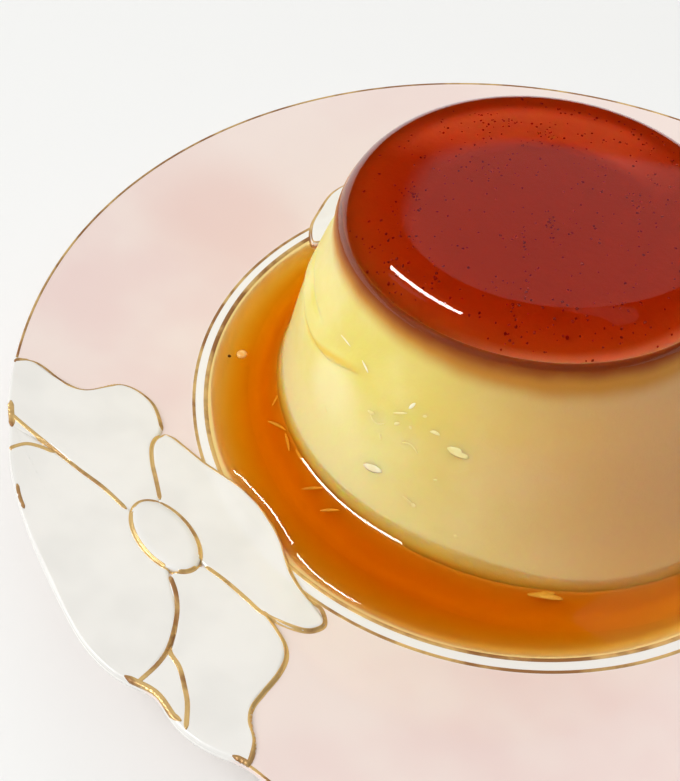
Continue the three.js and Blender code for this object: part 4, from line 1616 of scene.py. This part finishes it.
class PUDDING_OT_custard(bpy.types.Operator):
    """Make the moulded custard"""

    bl_idname = "pudding.custard"
    bl_label = "Custard"

    def execute(self, context):
        make_custard()
        make_foot()
        return {"FINISHED"}


class PUDDING_OT_caramel_top(bpy.types.Operator):
    """Make the set caramel on the custard"""

    bl_idname = "pudding.caramel_top"
    bl_label = "Set caramel"

    def execute(self, context):
        make_caramel_top()
        return {"FINISHED"}


class PUDDING_OT_sauce(bpy.types.Operator):
    """Make the pool of caramel sauce"""

    bl_idname = "pudding.sauce"
    bl_label = "Sauce"

    def execute(self, context):
        make_sauce()
        return {"FINISHED"}


class PUDDING_OT_specks(bpy.types.Operator):
    """Make the vanilla specks in the set caramel"""

    bl_idname = "pudding.specks"
    bl_label = "Vanilla specks"

    def execute(self, context):
        make_specks()
        return {"FINISHED"}


class PUDDING_OT_crumbs(bpy.types.Operator):
    """Make the torn bits of custard"""

    bl_idname = "pudding.crumbs"
    bl_label = "Crumbs"

    def execute(self, context):
        make_crumbs()
        return {"FINISHED"}


class PUDDING_OT_bubble(bpy.types.Operator):
    """Make the bubble and the burnt speck in the sauce"""

    bl_idname = "pudding.bubble"
    bl_label = "Bubble"

    def execute(self, context):
        make_bubble()
        return {"FINISHED"}


class PUDDING_OT_stage(bpy.types.Operator):
    """Make the floor, the lights and the camera"""

    bl_idname = "pudding.stage"
    bl_label = "Stage"

    def execute(self, context):
        make_table()
        make_lights()
        make_daylight()
        make_camera()
        context.scene.view_settings.view_transform = "Standard"
        return {"FINISHED"}


STEPS = (
    PUDDING_OT_stage,
    PUDDING_OT_plate,
    PUDDING_OT_blossoms,
    PUDDING_OT_gilding,
    PUDDING_OT_custard,
    PUDDING_OT_caramel_top,
    PUDDING_OT_sauce,
    PUDDING_OT_specks,
    PUDDING_OT_crumbs,
    PUDDING_OT_bubble,
)
SETTINGS = {
    "pudding_plate": PlateSettings,
    "pudding_custard": CustardSettings,
    "pudding_caramel": CaramelSettings,
    "pudding_stage": StageSettings,
}


class PUDDING_PT_panel(bpy.types.Panel):
    """Buttons and settings in the 3D view's sidebar"""

    bl_label = "Caramel pudding"
    bl_idname = "PUDDING_PT_panel"
    bl_space_type = "VIEW_3D"
    bl_region_type = "UI"
    bl_category = "Pudding"

    def draw(self, context):
        for step in STEPS:
            self.layout.operator(step.bl_idname)
        for name, group in SETTINGS.items():
            box = self.layout.box()
            box.label(text=group.__doc__)
            for prop in group.__annotations__:
                box.prop(getattr(context.scene, name), prop)


def register():
    """Registers the classes and puts their settings on the scene."""
    for group in (*SETTINGS.values(), *STEPS, PUDDING_PT_panel):
        bpy.utils.register_class(group)
    for name, group in SETTINGS.items():
        setattr(bpy.types.Scene, name, PointerProperty(type=group))


def unregister():
    """Undoes what register does."""
    for name in SETTINGS:
        delattr(bpy.types.Scene, name)
    for group in reversed((*SETTINGS.values(), *STEPS, PUDDING_PT_panel)):
        bpy.utils.unregister_class(group)


def main():
    """Registers the classes and makes every piece in order."""
    register()
    for step in STEPS:
        group, name = step.bl_idname.split(".")
        getattr(getattr(bpy.ops, group), name)()


if __name__ == "__main__":
    main()
